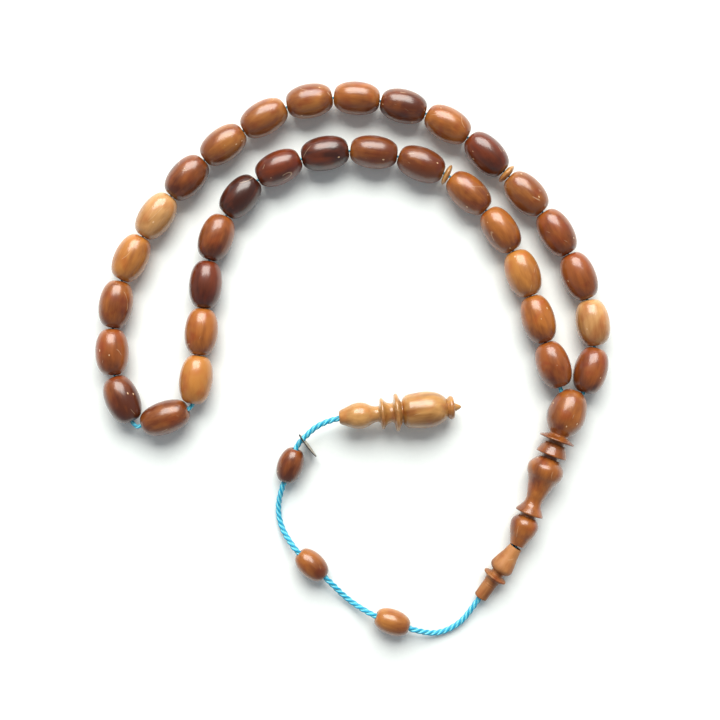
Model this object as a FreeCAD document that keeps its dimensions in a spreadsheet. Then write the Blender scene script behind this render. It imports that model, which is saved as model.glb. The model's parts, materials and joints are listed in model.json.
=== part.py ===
"""Prayer beads: thirty-three barrel beads and two lens discs on a loop cord, a turned headpiece
with a separate foot, and a twisted tail cord that carries three small beads, a sequin and a
turned end ornament.  Millimetres, +Z up, laid out flat on a table at Z = 0.
"""
import FreeCAD, Part
import math
import os
import Sketcher

V = FreeCAD.Vector
doc = FreeCAD.newDocument("PrayerBeads")

# ------------------------------------------------------------------ driving sizes, in a sheet

SIZES = [
    # layout
    ("shift_x", 0.1, "how far the layout is moved along X to centre its box"),
    ("shift_y", -0.2, "how far it is moved along Y"),
    # main beads of the loop
    ("bead_d", 9.4, "largest diameter of a main bead"),
    ("bead_d_spread", 0.3, "how much slimmer the slimmest main bead is"),
    ("bead_longest", 13.3, "length that no main bead exceeds"),
    ("bead_shoulder_r", 3.4, "radius of the rounded bead ends"),
    ("bead_shoulder_y", 0.8, "height of that radius' centre above the bore axis"),
    ("bead_bore_r", 0.95, "bore radius of beads and discs on the loop"),
    ("bead_rim_r", 1.25, "radius of the countersunk mouth of the bore"),
    ("bead_gap", 0.22, "room between two beads whose faces are parallel"),
    ("fold_room", 2.7, "extra room where the string folds back, at a right-angled turn"),
    ("mouth_gap", 0.35, "room between the first or last bead and its hole's outer mouth"),
    # lens discs
    ("disc_r", 2.8, "radius of a lens disc"),
    ("disc_rim_t", 0.5, "thickness of a disc at its rim"),
    ("disc_slope", 60.0, "slope at which a disc's rounded rim starts, in degrees"),
    # small beads of the tail
    ("small_length", 9.6, "length of a tail bead"),
    ("small_d", 7.1, "diameter of a tail bead"),
    ("small_shoulder_r", 2.55, "radius of the rounded ends of a tail bead"),
    ("small_shoulder_y", 0.65, "height of that radius' centre above the bore axis"),
    ("small_bore_r", 1.15, "bore radius of a tail bead"),
    ("small_rim_r", 1.45, "radius of the countersunk mouth of that bore"),
    # cords and knots
    ("loop_cord_r", 0.6, "radius of the loop cord"),
    ("tail_cord_r", 0.8, "radius of the twisted tail cord"),
    ("cord_slack", 0.2, "how far the loop cord may leave the axis inside a bore"),
    ("strand_y", 0.62, "half the spacing of the two cord ends inside the headpiece"),
    ("strand_z", -0.35, "height of both cord ends beside the headpiece axis"),
    ("join_knot_r", 1.25, "radius of the knot that joins loop and tail"),
    ("join_knot_x", 5.6, "its place along the foot"),
    ("end_knot_r", 1.25, "radius of the stopper knot in the end ornament"),
    ("end_knot_x", 5.6, "its place along the ornament"),
    ("arc_share", 0.45, "how far an arc of a cord may reach, as a share of its shorter run"),
    ("knot_grip", 0.8, "how far out in a knot its cords end, as a share of its radius"),
    ("exit_run", 3.2, "length of the tail's first straight run outside the foot"),
    # headpiece: two slanted cord holes and the bore
    ("hole_r", 0.95, "radius of the slanted holes in the head"),
    ("hole_depth_x", 8.4, "where the slanted holes end, along the headpiece"),
    ("hole_meet_x", 7.5, "where the two cord ends turn to run side by side"),
    ("head_bore_r", 1.5, "bore radius of the headpiece"),
    ("head_bore_x", 7.0, "where that bore starts"),
    ("head_to_foot", 0.33, "half the gap between headpiece and foot"),
    # foot and ornament bores
    ("foot_bore_r", 1.45, "bore radius in the upper part of the foot"),
    ("foot_step_x", 7.4, "where the foot's bore narrows"),
    ("exit_bore_r", 1.15, "bore radius around the tail cord"),
    ("orn_step_x", 2.6, "where the ornament's bore widens into the knot chamber"),
    ("orn_chamber_r", 1.4, "radius of the knot chamber"),
    ("orn_socket_x", 13.9, "where the chamber opens into the socket for the barrel"),
    ("orn_socket_r", 1.9, "radius of that socket"),
    ("spigot_r", 1.86, "radius of the barrel's spigot"),
    ("spigot_x", 14.3, "end of the spigot inside the socket"),
    ("peg_r", 0.9, "radius of the finial's peg"),
    ("peg_hole_r", 0.93, "radius of the hole for it"),
    ("peg_x", 27.6, "end of the peg inside the barrel"),
    ("peg_hole_x", 27.3, "bottom of the hole for it"),
    # sequin
    ("sequin_r", 3.9, "radius of the sequin"),
    ("sequin_t", 0.3, "thickness of the sequin"),
    ("sequin_hole_r", 1.0, "radius of its hole"),
    ("sequin_off", 2.1, "distance from the sequin's middle to its hole"),
    ("sequin_share", 0.68, "where it hangs, as a share of the tail's last bend"),
    ("sequin_heading", 38.0, "heading of its face, in degrees from the X axis"),
    ("sequin_clear", 0.05, "room between its edge and the table"),
]

# Stations of each turned piece: name, distance along the axis, radius and edge to the next one.
# The edge is None for a straight line, a number for an arc that starts at that slope in degrees,
# and "on" for an arc that carries on smoothly from the edge before it.
HEADPIECE = [
    ("top", 0.0, 1.7, 64), ("shoulder", 3.0, 4.4, "on"), ("egg", 6.6, 5.2, "on"),
    ("cheek", 10.4, 4.45, "on"), ("chin", 12.8, 2.6, None), ("neck_a", 13.2, 2.6, None),
    ("disc_a", 14.2, 4.8, 70), ("disc_b", 14.65, 4.8, None), ("neck_b", 14.95, 2.55, None),
    ("neck_c", 15.6, 2.55, None), ("cup_a", 15.7, 2.85, 35), ("cup_b", 18.45, 4.2, None),
    ("cup_c", 18.75, 4.3, None), ("cup_d", 19.0, 4.2, None), ("throat_a", 19.15, 2.35, None),
    ("throat_b", 19.9, 2.35, None), ("vase_a", 20.0, 2.75, 50), ("vase_b", 21.6, 4.35, "on"),
    ("bulb", 23.4, 5.0, "on"), ("vase_c", 25.6, 4.35, "on"), ("vase_d", 28.0, 3.3, "on"),
    ("waist", 31.3, 2.4, "on"), ("skirt_a", 34.2, 2.9, "on"), ("skirt_b", 35.75, 3.9, None),
    ("skirt_c", 36.1, 3.85, None), ("ankle_a", 36.25, 2.25, None), ("ankle_b", 37.0, 2.25, None),
    ("acorn_a", 37.1, 2.4, 60), ("acorn_b", 38.4, 3.6, "on"), ("acorn_c", 39.9, 3.85, "on"),
    ("acorn_d", 43.0, 2.85, None), ("end", 45.35, 2.0, None),
]
FOOT = [
    ("start", 0.0, 1.78, None), ("flank", 2.8, 2.32, 16), ("pear", 6.4, 3.2, "on"),
    ("base", 8.0, 2.5, None), ("neck_a", 8.3, 1.75, None), ("neck_b", 9.2, 1.75, None),
    ("ring_a", 9.45, 2.05, None), ("ring_b", 9.7, 3.2, 70), ("ring_c", 10.35, 3.2, "on"),
    ("ring_d", 11.1, 2.1, None), ("sleeve_a", 11.9, 1.95, None), ("groove_a", 12.3, 1.8, None),
    ("rib", 12.5, 1.95, None), ("groove_b", 12.8, 1.8, None), ("sleeve_b", 13.0, 1.9, None),
    ("sleeve_c", 16.9, 1.86, -5), ("end", 17.3, 1.5, None),
]
SOCKET = [
    ("face", 0.0, 1.5, 62), ("lip", 0.6, 2.05, None), ("pear_a", 3.0, 3.05, 24),
    ("pear_b", 5.4, 3.62, "on"), ("pear_c", 8.3, 2.85, "on"), ("neck", 10.5, 2.15, "on"),
    ("flange_a", 11.1, 2.4, None), ("flange_b", 11.4, 4.0, 70), ("flange_c", 12.25, 4.05, -62),
    ("spool_a", 14.1, 2.7, None), ("spool_b", 14.6, 2.65, None), ("wide_a", 15.0, 2.85, None),
    ("wide_b", 15.5, 5.1, 75), ("wide_c", 16.1, 5.1, "on"), ("end", 17.2, 2.85, None),
]
BARREL = [
    ("neck", 17.2, 2.8, None), ("start", 17.4, 2.8, None), ("end_a", 17.5, 3.25, 64),
    ("side_a", 19.5, 4.7, "on"), ("middle", 23.0, 5.05, "on"), ("side_b", 26.6, 4.65, "on"),
    ("end_b", 29.4, 2.95, None), ("seat", 29.7, 2.5, None),
]
FINIAL = [
    ("seat", 29.7, 2.5, None), ("ring_a", 30.25, 2.95, 60), ("ring_b", 30.85, 3.25, "on"),
    ("ring_c", 31.5, 2.9, None), ("foot", 31.75, 1.3, None), ("tip_a", 33.3, 0.5, -45),
    ("tip_b", 33.65, 0.12, None),
]
TURNED = {"head": HEADPIECE, "foot": FOOT, "socket": SOCKET, "barrel": BARREL, "finial": FINIAL}

sheet = doc.addObject("Spreadsheet::Sheet", "Sizes")
size = {}


def put_size(alias, value, note):
    """One row of the sheet: the note, and the value under its alias."""
    row = len(size) + 1
    size[alias] = value
    sheet.set("A%d" % row, note)
    sheet.set("B%d" % row, repr(float(value)))
    sheet.setAlias("B%d" % row, alias)


for alias, value, note in SIZES:
    put_size(alias, value, note)
for piece, stations in TURNED.items():
    for name, x, radius, edge in stations:
        put_size("%s_%s_x" % (piece, name), x, "%s, %s: place along the axis" % (piece, name))
        put_size("%s_%s_y" % (piece, name), radius, "%s, %s: radius" % (piece, name))
doc.recompute()

# ------------------------------------------------------------------ sketch and body helpers


def new_body(label):
    """A body and an empty sketch on its XY plane; the piece's axis is the sketch's X axis."""
    body = doc.addObject("PartDesign::Body", label)
    body.Label = label
    return body, new_sketch(body, 0.0)


def new_sketch(body, height):
    plane = next(f for f in body.Origin.OriginFeatures if f.Role == "XY_Plane")
    sketch = body.newObject("Sketcher::SketchObject", body.Name + "_Sketch")
    sketch.AttachmentSupport = [(plane, "")]
    sketch.MapMode = "FlatFace"
    sketch.AttachmentOffset = FreeCAD.Placement(V(0, 0, height), FreeCAD.Rotation())
    return sketch


def arc_between(p, q, slope):
    """Arc from p to q that leaves p at the given slope: its geometry, its two end numbers (the
    one at p first) and the slope at q, or None for the geometry where it would be straight."""
    chord = math.atan2(q.y - p.y, q.x - p.x)
    turn = 2 * (chord - slope)
    radius = (q - p).Length / 2 / abs(math.sin(turn / 2))
    side = 1 if turn > 0 else -1
    centre = p + V(-math.sin(slope), math.cos(slope), 0) * (side * radius)
    start = math.atan2(p.y - centre.y, p.x - centre.x)
    circle = Part.Circle(centre, V(0, 0, 1), radius)
    if side > 0:
        return Part.ArcOfCircle(circle, start, start + turn), (1, 2), slope + turn
    return Part.ArcOfCircle(circle, start + turn, start), (2, 1), slope + turn


class Outline:
    """A closed outline drawn corner by corner; each corner can be tied to cells of the sheet."""

    def __init__(self, sketch):
        self.sketch = sketch
        self.corners = []
        self.edges = []

    def corner(self, x, y, x_cell=None, y_cell=None, edge=None):
        self.corners.append((V(x, y, 0), x_cell, y_cell))
        self.edges.append(edge)

    def tie(self, kind, geo, point, value, formula):
        """Distance of a point from an axis, set by a formula on the sheet where there is one."""
        if abs(value) < 1e-9:
            axis = -2 if kind == "DistanceX" else -1
            self.sketch.addConstraint(Sketcher.Constraint("PointOnObject", geo, point, axis))
            return
        at = self.sketch.addConstraint(Sketcher.Constraint(kind, -1, 1, geo, point, value))
        if formula:
            name = "%s%d_%d" % (kind[-1], geo, point)
            self.sketch.renameConstraint(at, name)
            self.sketch.setExpression("Constraints." + name, formula)

    def close(self):
        count = len(self.corners)
        slope = 0.0
        ends = []
        for at in range(count):
            p = self.corners[at][0]
            q = self.corners[(at + 1) % count][0]
            edge = self.edges[at]
            if edge is None:
                geo = self.sketch.addGeometry(Part.LineSegment(p, q), False)
                ends.append((geo, 1, 2))
                slope = math.atan2(q.y - p.y, q.x - p.x)
                continue
            if edge != "on":
                slope = math.radians(edge)
            arc, (first, last), slope = arc_between(p, q, slope)
            geo = self.sketch.addGeometry(arc, False)
            ends.append((geo, first, last))
            if edge != "on":
                self.sketch.addConstraint(Sketcher.Constraint("Radius", geo, arc.Radius))
        for at in range(count):
            geo, first, last = ends[at]
            after, after_first, after_last = ends[(at + 1) % count]
            kind = "Tangent" if self.edges[(at + 1) % count] == "on" else "Coincident"
            link = Sketcher.Constraint(kind, geo, last, after, after_first)
            self.sketch.addConstraint(link)
            corner, x_cell, y_cell = self.corners[at]
            self.tie("DistanceX", geo, first, corner.x, x_cell)
            self.tie("DistanceY", geo, first, corner.y, y_cell)


def spin(body, sketch, feature="PartDesign::Revolution"):
    """Turn the sketch once round its X axis."""
    turned = body.newObject(feature, body.Name + "_Turned")
    turned.Profile = sketch
    turned.ReferenceAxis = (sketch, ["H_Axis"])
    turned.Angle = 360
    sketch.Visibility = False
    return turned


def turned_outline(sketch, piece, bore):
    """The outside of a turned piece from its stations, closed along its bore: a list of
    (place cell, radius cell) from the far end back to the near one."""
    outline = Outline(sketch)
    for name, x, radius, edge in TURNED[piece]:
        x_cell = "%s_%s_x" % (piece, name)
        y_cell = "%s_%s_y" % (piece, name)
        outline.corner(x, radius, "Sizes." + x_cell, "Sizes." + y_cell, edge)
    for x_cell, y_cell in bore:
        x = size[x_cell] if x_cell else 0.0
        y = size[y_cell] if y_cell else 0.0
        x_formula = "Sizes." + x_cell if x_cell else None
        y_formula = "Sizes." + y_cell if y_cell else None
        outline.corner(x, y, x_formula, y_formula)
    outline.close()


def turned_piece(label, piece, bore, placement):
    body, sketch = new_body(label)
    turned_outline(sketch, piece, bore)
    spin(body, sketch)
    body.Placement = placement
    return body


def barrel_bead(label, kind, length, diameter, placement):
    """A barrel bead: two rounded ends that run smoothly into one long flank arc, and a bore
    with a countersunk mouth at each end.  Its middle is at its own origin."""
    body, sketch = new_body(label)
    shoulder_r = size[kind + "_shoulder_r"]
    shoulder_y = size[kind + "_shoulder_y"]
    rim_r = size[kind + "_rim_r"]
    bore_r = size[kind + "_bore_r"]
    reach = length / 2 - shoulder_r
    rise = diameter / 2 - shoulder_y
    flank_r = (reach ** 2 + rise ** 2 - shoulder_r ** 2) / (2 * (rise - shoulder_r))
    centre_y = diameter / 2 - flank_r
    away = V(reach, shoulder_y - centre_y, 0).normalize()
    joint = V(0, centre_y, 0) + away * flank_r
    rim_x = reach + math.sqrt(shoulder_r ** 2 - (rim_r - shoulder_y) ** 2)
    bore_x = rim_x - (rim_r - bore_r)

    def arc(cx, cy, radius, start, end):
        low = math.atan2(start.y - cy, start.x - cx)
        high = math.atan2(end.y - cy, end.x - cx)
        circle = Part.Circle(V(cx, cy, 0), V(0, 0, 1), radius)
        return sketch.addGeometry(Part.ArcOfCircle(circle, low, high), False)

    def line(p, q):
        return sketch.addGeometry(Part.LineSegment(p, q), False)

    left_joint = V(-joint.x, joint.y, 0)
    right_end = arc(reach, shoulder_y, shoulder_r, V(rim_x, rim_r, 0), joint)
    flank = arc(0, centre_y, flank_r, joint, left_joint)
    left_end = arc(-reach, shoulder_y, shoulder_r, left_joint, V(-rim_x, rim_r, 0))
    left_sink = line(V(-rim_x, rim_r, 0), V(-bore_x, bore_r, 0))
    bore = line(V(-bore_x, bore_r, 0), V(bore_x, bore_r, 0))
    right_sink = line(V(bore_x, bore_r, 0), V(rim_x, rim_r, 0))
    Rule = Sketcher.Constraint
    for rule in [
        Rule("Tangent", right_end, 2, flank, 1), Rule("Tangent", flank, 2, left_end, 1),
        Rule("Coincident", left_end, 2, left_sink, 1), Rule("Coincident", left_sink, 2, bore, 1),
        Rule("Coincident", bore, 2, right_sink, 1), Rule("Coincident", right_sink, 2, right_end, 1),
        Rule("Symmetric", left_end, 3, right_end, 3, -2),
        Rule("Horizontal", left_sink, 1, right_sink, 2),
        Rule("Symmetric", bore, 1, bore, 2, -2),
        Rule("Equal", left_end, right_end),
    ]:
        sketch.addConstraint(rule)
    outer = Rule("Radius", flank, flank_r)
    sketch.addConstraint(outer)
    bound = [
        ("ShoulderRadius", Rule("Radius", right_end, shoulder_r), kind + "_shoulder_r"),
        ("ShoulderHeight", Rule("DistanceY", -1, 1, right_end, 3, shoulder_y),
         kind + "_shoulder_y"),
        ("MouthRadius", Rule("DistanceY", -1, 1, right_sink, 2, rim_r), kind + "_rim_r"),
        ("BoreRadius", Rule("DistanceY", -1, 1, right_sink, 1, bore_r), kind + "_bore_r"),
    ]
    for name, rule, cell in bound:
        at = sketch.addConstraint(rule)
        sketch.renameConstraint(at, name)
        sketch.setExpression("Constraints." + name, "Sizes." + cell)
    sketch.addConstraint(Rule("DistanceX", -1, 1, right_end, 3, reach))
    sketch.addConstraint(Rule("DistanceX", -1, 1, bore, 2, bore_x))
    spin(body, sketch)
    body.Placement = placement
    return body


def lens_disc(label, thickness, placement):
    """A thin turned lens: flat faces around the bore, cones out to a narrow rim."""
    body, sketch = new_body(label)
    half = thickness / 2
    rim = size["disc_rim_t"] / 2
    outline = Outline(sketch)
    outline.corner(-half, size["bead_rim_r"], None, "Sizes.bead_rim_r")
    outline.corner(-rim, size["disc_r"], None, "Sizes.disc_r", size["disc_slope"])
    outline.corner(rim, size["disc_r"], None, "Sizes.disc_r")
    outline.corner(half, size["bead_rim_r"], None, "Sizes.bead_rim_r")
    outline.corner(half, size["bead_bore_r"], None, "Sizes.bead_bore_r")
    outline.corner(-half, size["bead_bore_r"], None, "Sizes.bead_bore_r")
    outline.close()
    spin(body, sketch)
    body.Placement = placement
    return body


def drill(body, mouth, bottom):
    """A slanted hole in the plane of the two cord ends, from above its mouth to its bottom."""
    sketch = new_sketch(body, size["strand_z"])
    radius = size["hole_r"]
    along = V(bottom.x - mouth.x, bottom.y - mouth.y, 0).normalize()
    across = V(-along.y, along.x, 0) * radius
    start = V(mouth.x, mouth.y, 0) - along * (2 * radius)
    end = V(bottom.x, bottom.y, 0)
    corners = [start, start + across, end + across, end]
    axis = sketch.addGeometry(Part.LineSegment(start, end), True)
    sides = []
    for at in range(4):
        side = Part.LineSegment(corners[at], corners[(at + 1) % 4])
        sides.append(sketch.addGeometry(side, False))
    Rule = Sketcher.Constraint
    for at in range(4):
        sketch.addConstraint(Rule("Coincident", sides[at], 2, sides[(at + 1) % 4], 1))
    sketch.addConstraint(Rule("Coincident", axis, 1, sides[0], 1))
    sketch.addConstraint(Rule("Coincident", axis, 2, sides[2], 2))
    sketch.addConstraint(Rule("Perpendicular", sides[0], axis))
    sketch.addConstraint(Rule("Perpendicular", sides[2], axis))
    sketch.addConstraint(Rule("Parallel", sides[1], axis))
    at = sketch.addConstraint(Rule("Distance", sides[0], radius))
    sketch.renameConstraint(at, "HoleRadius")
    sketch.setExpression("Constraints.HoleRadius", "Sizes.hole_r")
    for point, corner in ((1, start), (2, end)):
        sketch.addConstraint(Rule("DistanceX", -1, 1, axis, point, corner.x))
        sketch.addConstraint(Rule("DistanceY", -1, 1, axis, point, corner.y))
    hole = body.newObject("PartDesign::Groove", body.Name + "_Hole")
    hole.Profile = sketch
    hole.ReferenceAxis = (sketch, ["Axis0"])
    hole.Angle = 360
    sketch.Visibility = False


# ------------------------------------------------------------------ where the turned pieces lie


def laid(x, y, z):
    """A point of the laid-out string, moved so that the string's box is centred on the origin."""
    return V(x + size["shift_x"], y + size["shift_y"], z)


def lying(base, heading, rise):
    """A piece whose axis starts at a point and runs at a heading and a rise, in degrees."""
    return FreeCAD.Placement(base, FreeCAD.Rotation(heading, -rise, 0))


# The headpiece rests on its head and its bulb, the foot hangs from it down to its ring, and the
# end ornament rests on its wide flange and its barrel.
head_at = lying(laid(61.0, -8.4, 5.33), 249.3, -0.67)
pivot = head_at.multVec(V(size["head_end_x"] + size["head_to_foot"], 0, 0))
foot_turn = FreeCAD.Rotation(236.1, 7.3, 0)
foot_at = FreeCAD.Placement(pivot + foot_turn.multVec(V(size["head_to_foot"], 0, 0)), foot_turn)
ornament_at = lying(laid(-3.8, -15.7, 5.98), 4.9, -2.17)

# ------------------------------------------------------------------ routes of the two cords

# The loop, from the right-hand hole of the head round to the left-hand one: the points, X and Y,
# where one bead ends and the next begins.  The runs before and after a lens disc are its own.
LOOP = [
    (67.0, 3.6), (64.7, 16.7), (59.4, 29.2), (52.3, 40.8), (42.9, 50.4), (41.4, 51.8),
    (31.8, 61.4), (20.2, 68.0), (7.5, 71.4), (-5.5, 72.4), (-18.5, 69.9), (-30.3, 63.1),
    (-41.1, 55.1), (-50.2, 45.1), (-58.0, 34.0), (-64.0, 21.9), (-66.3, 8.7), (-66.1, -4.5),
    (-59.9, -18.7), (-44.2, -13.2), (-42.3, 1.3), (-41.1, 14.2), (-39.9, 27.4), (-35.3, 39.9),
    (-26.6, 49.9), (-14.4, 55.6), (-1.0, 57.9), (12.4, 56.3), (24.9, 51.3), (26.7, 50.4),
    (36.8, 41.3), (44.3, 30.1), (48.9, 17.6), (52.8, 4.8),
]
DISC_AFTER = (5, 28)
BEADS = 33

# The tail, from the foot to the end ornament: down to the table between the beads, and up to the
# bore of each piece that it carries.
TAIL = [
    (29.6, -73.4, 1.3), (23.3, -76.3, 1.1), (16.9, -74.5, 3.6), (4.7, -70.0, 3.6),
    (-1.2, -66.9, 1.1), (-6.5, -61.1, 3.6), (-16.3, -51.9, 3.6), (-20.1, -46.6, 1.1),
    (-21.0, -40.6, 1.3), (-19.6, -35.2, 3.15), (-15.1, -22.9, 4.1), (-7.9, -16.1, 5.9),
]
SMALL_AFTER = (2, 5, 9)


def turn_at(before, point, after):
    """The angle by which a route turns at a point."""
    return (point - before).getAngle(after - point)


def arc_route(points, room):
    """Straight runs joined by tangent arcs.  Each arc reaches a fixed share of its shorter run
    back from its point, or less where room, a function of the point's number and turn, says so."""
    edges = []
    radii = []
    at = points[0]
    for number in range(1, len(points) - 1):
        before, point, after = points[number - 1:number + 2]
        back = (before - point).normalize()
        ahead = (after - point).normalize()
        half = turn_at(before, point, after) / 2
        shorter = min((point - before).Length, (after - point).Length)
        reach = min(size["arc_share"] * shorter, room(number, half))
        radius = reach / math.tan(half)
        inward = (back + ahead).normalize()
        middle = point + inward * (radius / math.cos(half) - radius)
        start = point + back * reach
        end = point + ahead * reach
        if (start - at).Length > 1e-4:
            edges.append(Part.LineSegment(at, start).toShape())
        edges.append(Part.Arc(start, middle, end).toShape())
        radii.append(radius)
        at = end
    edges.append(Part.LineSegment(at, points[-1]).toShape())
    return edges, radii


def tube(label, edges, radius):
    """A round cord along a route, as one solid, with its volume compared with its length."""
    wire = Part.Wire(edges)
    start = edges[0].Curve.value(edges[0].FirstParameter)
    ahead = edges[0].tangentAt(edges[0].FirstParameter)
    section = Part.Wire([Part.Circle(start, ahead, radius).toShape()])
    cord = doc.addObject("Part::Feature", label)
    cord.Label = label
    cord.Shape = wire.makePipeShell([section], True, False)
    expected = math.pi * radius ** 2 * wire.Length
    if abs(cord.Shape.Volume / expected - 1) > 0.005:
        raise RuntimeError("%s: volume %.1f, expected %.1f" % (label, cord.Shape.Volume, expected))
    print("%s: length %.1f" % (label, wire.Length))
    return cord


def knot(label, radius_cell, placement):
    """A small tight knot, as a ball."""
    ball = doc.addObject("Part::Sphere", label)
    ball.Label = label
    ball.setExpression("Radius", "Sizes." + radius_cell)
    ball.Placement = placement
    return ball


def at_table(points):
    """Loop points at the height of the fattest bead's middle."""
    return [laid(x, y, size["bead_d"] / 2) for x, y in points]


def side_by_side(side):
    """One cord end inside the headpiece: its knot end in the foot, its point in the gap and the
    point where it turns into its slanted hole."""
    shift = side * size["strand_y"]
    along = head_at.Rotation.multVec(V(1, 0, 0)) + foot_turn.multVec(V(1, 0, 0))
    across = V(0, 0, 1).cross(along).normalize()
    return [
        foot_at.multVec(V(size["join_knot_x"] - size["knot_grip"] * size["join_knot_r"], shift, 0)),
        pivot + across * shift + V(0, 0, size["strand_z"] / 2),
        head_at.multVec(V(size["hole_meet_x"], shift, size["strand_z"])),
    ]


mouth_right = V(-0.1, 2.6, size["strand_z"])
mouth_left = V(0.6, -3.8, size["strand_z"])
loop_points = [head_at.multVec(mouth_right)] + at_table(LOOP) + [head_at.multVec(mouth_left)]
loop_route = side_by_side(1) + loop_points + side_by_side(-1)[::-1]


def bead_face_gap(half_turn):
    """Room between two bead faces on the cord, so that neither their tipped rims nor, at a
    sharp turn, their flanks touch."""
    rims = 2 * size["bead_rim_r"] * math.sin(half_turn)
    return size["bead_gap"] + rims + size["fold_room"] * math.tan(half_turn) ** 2


def bore_room(number, half):
    """How far back an arc of the loop cord may reach before it would touch the bore."""
    face = bead_face_gap(half) / 2
    lean = face + size["cord_slack"] / math.tan(half)
    return lean + math.sqrt(lean ** 2 - face ** 2)


def free_room(number, half):
    return math.inf


tail_start = foot_at.multVec(V(size["join_knot_x"] + size["knot_grip"] * size["join_knot_r"], 0, 0))
tail_exit = foot_at.multVec(V(size["foot_end_x"] + size["exit_run"], 0, 0))
tail_end = ornament_at.multVec(V(size["end_knot_x"] - size["knot_grip"] * size["end_knot_r"], 0, 0))
tail_route = [tail_start, tail_exit] + [laid(*point) for point in TAIL] + [tail_end]

# ------------------------------------------------------------------ pieces on the loop


def on_run(start, end, share, length):
    """Placement of a piece whose middle is a distance along a run, and the run's direction."""
    heading = math.degrees(math.atan2(end.y - start.y, end.x - start.x))
    rise = math.degrees(math.asin((end.z - start.z) / (end - start).Length))
    middle = start + (end - start).normalize() * (share + length / 2)
    return lying(middle, heading, rise)


parts = []
GOLDEN = 0.618034
bead_number = 0
disc_number = 0
for run in range(len(loop_points) - 1):
    start, end = loop_points[run:run + 2]
    whole = [loop_route[2]] + loop_points + [loop_route[-3]]
    turn_in = turn_at(*whole[run:run + 3])
    turn_out = turn_at(*whole[run + 1:run + 4])
    near = bead_face_gap(turn_in / 2) / 2 if run else size["mouth_gap"]
    last = run == len(loop_points) - 2
    far = size["mouth_gap"] if last else bead_face_gap(turn_out / 2) / 2
    room = (end - start).Length - near - far
    if bead_number in DISC_AFTER and disc_number == DISC_AFTER.index(bead_number):
        disc_number += 1
        at = on_run(start, end, near, room)
        parts.append(lens_disc("lens_disc_%d" % disc_number, room, at))
        continue
    bead_number += 1
    length = min(room, size["bead_longest"])
    near += (room - length) * turn_in / (turn_in + turn_out)
    slimmer = size["bead_d_spread"] * (bead_number * GOLDEN % 1.0)
    at = on_run(start, end, near, length)
    label = "bead_%02d" % bead_number
    parts.append(barrel_bead(label, "bead", length, size["bead_d"] - slimmer, at))
if bead_number != BEADS or disc_number != len(DISC_AFTER):
    raise RuntimeError("%d beads and %d discs on the loop" % (bead_number, disc_number))

# ------------------------------------------------------------------ headpiece, foot and ornament

headpiece = turned_piece("headpiece", "head", [
    ("head_end_x", "head_bore_r"), ("head_bore_x", "head_bore_r"), ("head_bore_x", None),
    (None, None)], head_at)
for mouth, side in ((mouth_right, 1), (mouth_left, -1)):
    meet = V(size["hole_meet_x"], side * size["strand_y"], 0)
    slant = (meet - V(mouth.x, mouth.y, 0)).normalize()
    drill(headpiece, mouth, meet + slant * (size["hole_depth_x"] - size["hole_meet_x"]))
parts.append(headpiece)
parts.append(turned_piece("headpiece_foot", "foot", [
    ("foot_end_x", "exit_bore_r"), ("foot_step_x", "exit_bore_r"),
    ("foot_step_x", "foot_bore_r"), (None, "foot_bore_r")], foot_at))
parts.append(turned_piece("ornament_socket", "socket", [
    ("socket_end_x", "orn_socket_r"), ("orn_socket_x", "orn_socket_r"),
    ("orn_socket_x", "orn_chamber_r"), ("orn_step_x", "orn_chamber_r"),
    ("orn_step_x", "exit_bore_r"), (None, "exit_bore_r")], ornament_at))
parts.append(turned_piece("ornament_barrel", "barrel", [
    ("barrel_seat_x", "peg_hole_r"), ("peg_hole_x", "peg_hole_r"), ("peg_hole_x", None),
    ("spigot_x", None), ("spigot_x", "spigot_r"), ("barrel_neck_x", "spigot_r")], ornament_at))
parts.append(turned_piece("ornament_finial", "finial", [
    ("finial_tip_b_x", None), ("peg_x", None), ("peg_x", "peg_r"), ("finial_seat_x", "peg_r")],
    ornament_at))

# ------------------------------------------------------------------ cords, knots, tail pieces

loop_edges, loop_radii = arc_route(loop_route, bore_room)
tail_edges, tail_radii = arc_route(tail_route, free_room)
print("loop cord radii:", " ".join("%.1f" % radius for radius in loop_radii))
print("tail cord radii:", " ".join("%.1f" % radius for radius in tail_radii))
parts.append(tube("loop_cord", loop_edges, size["loop_cord_r"]))
parts.append(tube("tail_cord", tail_edges, size["tail_cord_r"]))
join_at = FreeCAD.Placement(foot_at.multVec(V(size["join_knot_x"], 0, 0)), foot_turn)
end_at = FreeCAD.Placement(ornament_at.multVec(V(size["end_knot_x"], 0, 0)),
                           ornament_at.Rotation)
parts.append(knot("joining_knot", "join_knot_r", join_at))
parts.append(knot("end_knot", "end_knot_r", end_at))
for number, point in enumerate(SMALL_AFTER, 1):
    start, end = laid(*TAIL[point]), laid(*TAIL[point + 1])
    at = on_run(start, end, 0, (end - start).Length)
    label = "tail_bead_%d" % number
    parts.append(barrel_bead(label, "small", size["small_length"], size["small_d"], at))

# The sequin hangs on the last bend before the ornament: the cord goes through its hole aslant, it
# stands upright, and its middle is down on the right, so that its edge rests on the table.
bend = tail_edges[-4]
on_bend = bend.FirstParameter + size["sequin_share"] * (bend.LastParameter - bend.FirstParameter)
hole = bend.valueAt(on_bend)
ahead = bend.tangentAt(on_bend)
drop = hole.z - size["sequin_r"] - size["sequin_clear"]
lean = math.degrees(math.asin(drop / size["sequin_off"]))
sequin_at = FreeCAD.Placement(hole, FreeCAD.Rotation(size["sequin_heading"], 0, lean - 90))
sequin, sketch = new_body("sequin")
sequin_plane = next(f for f in sequin.Origin.OriginFeatures if f.Role == "YZ_Plane")
sketch.AttachmentSupport = [(sequin_plane, "")]
disc = sketch.addGeometry(Part.Circle(V(0, -size["sequin_off"], 0), V(0, 0, 1), size["sequin_r"]))
eye = sketch.addGeometry(Part.Circle(V(0, 0, 0), V(0, 0, 1), size["sequin_hole_r"]))
sketch.addConstraint(Sketcher.Constraint("Coincident", eye, 3, -1, 1))
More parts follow.
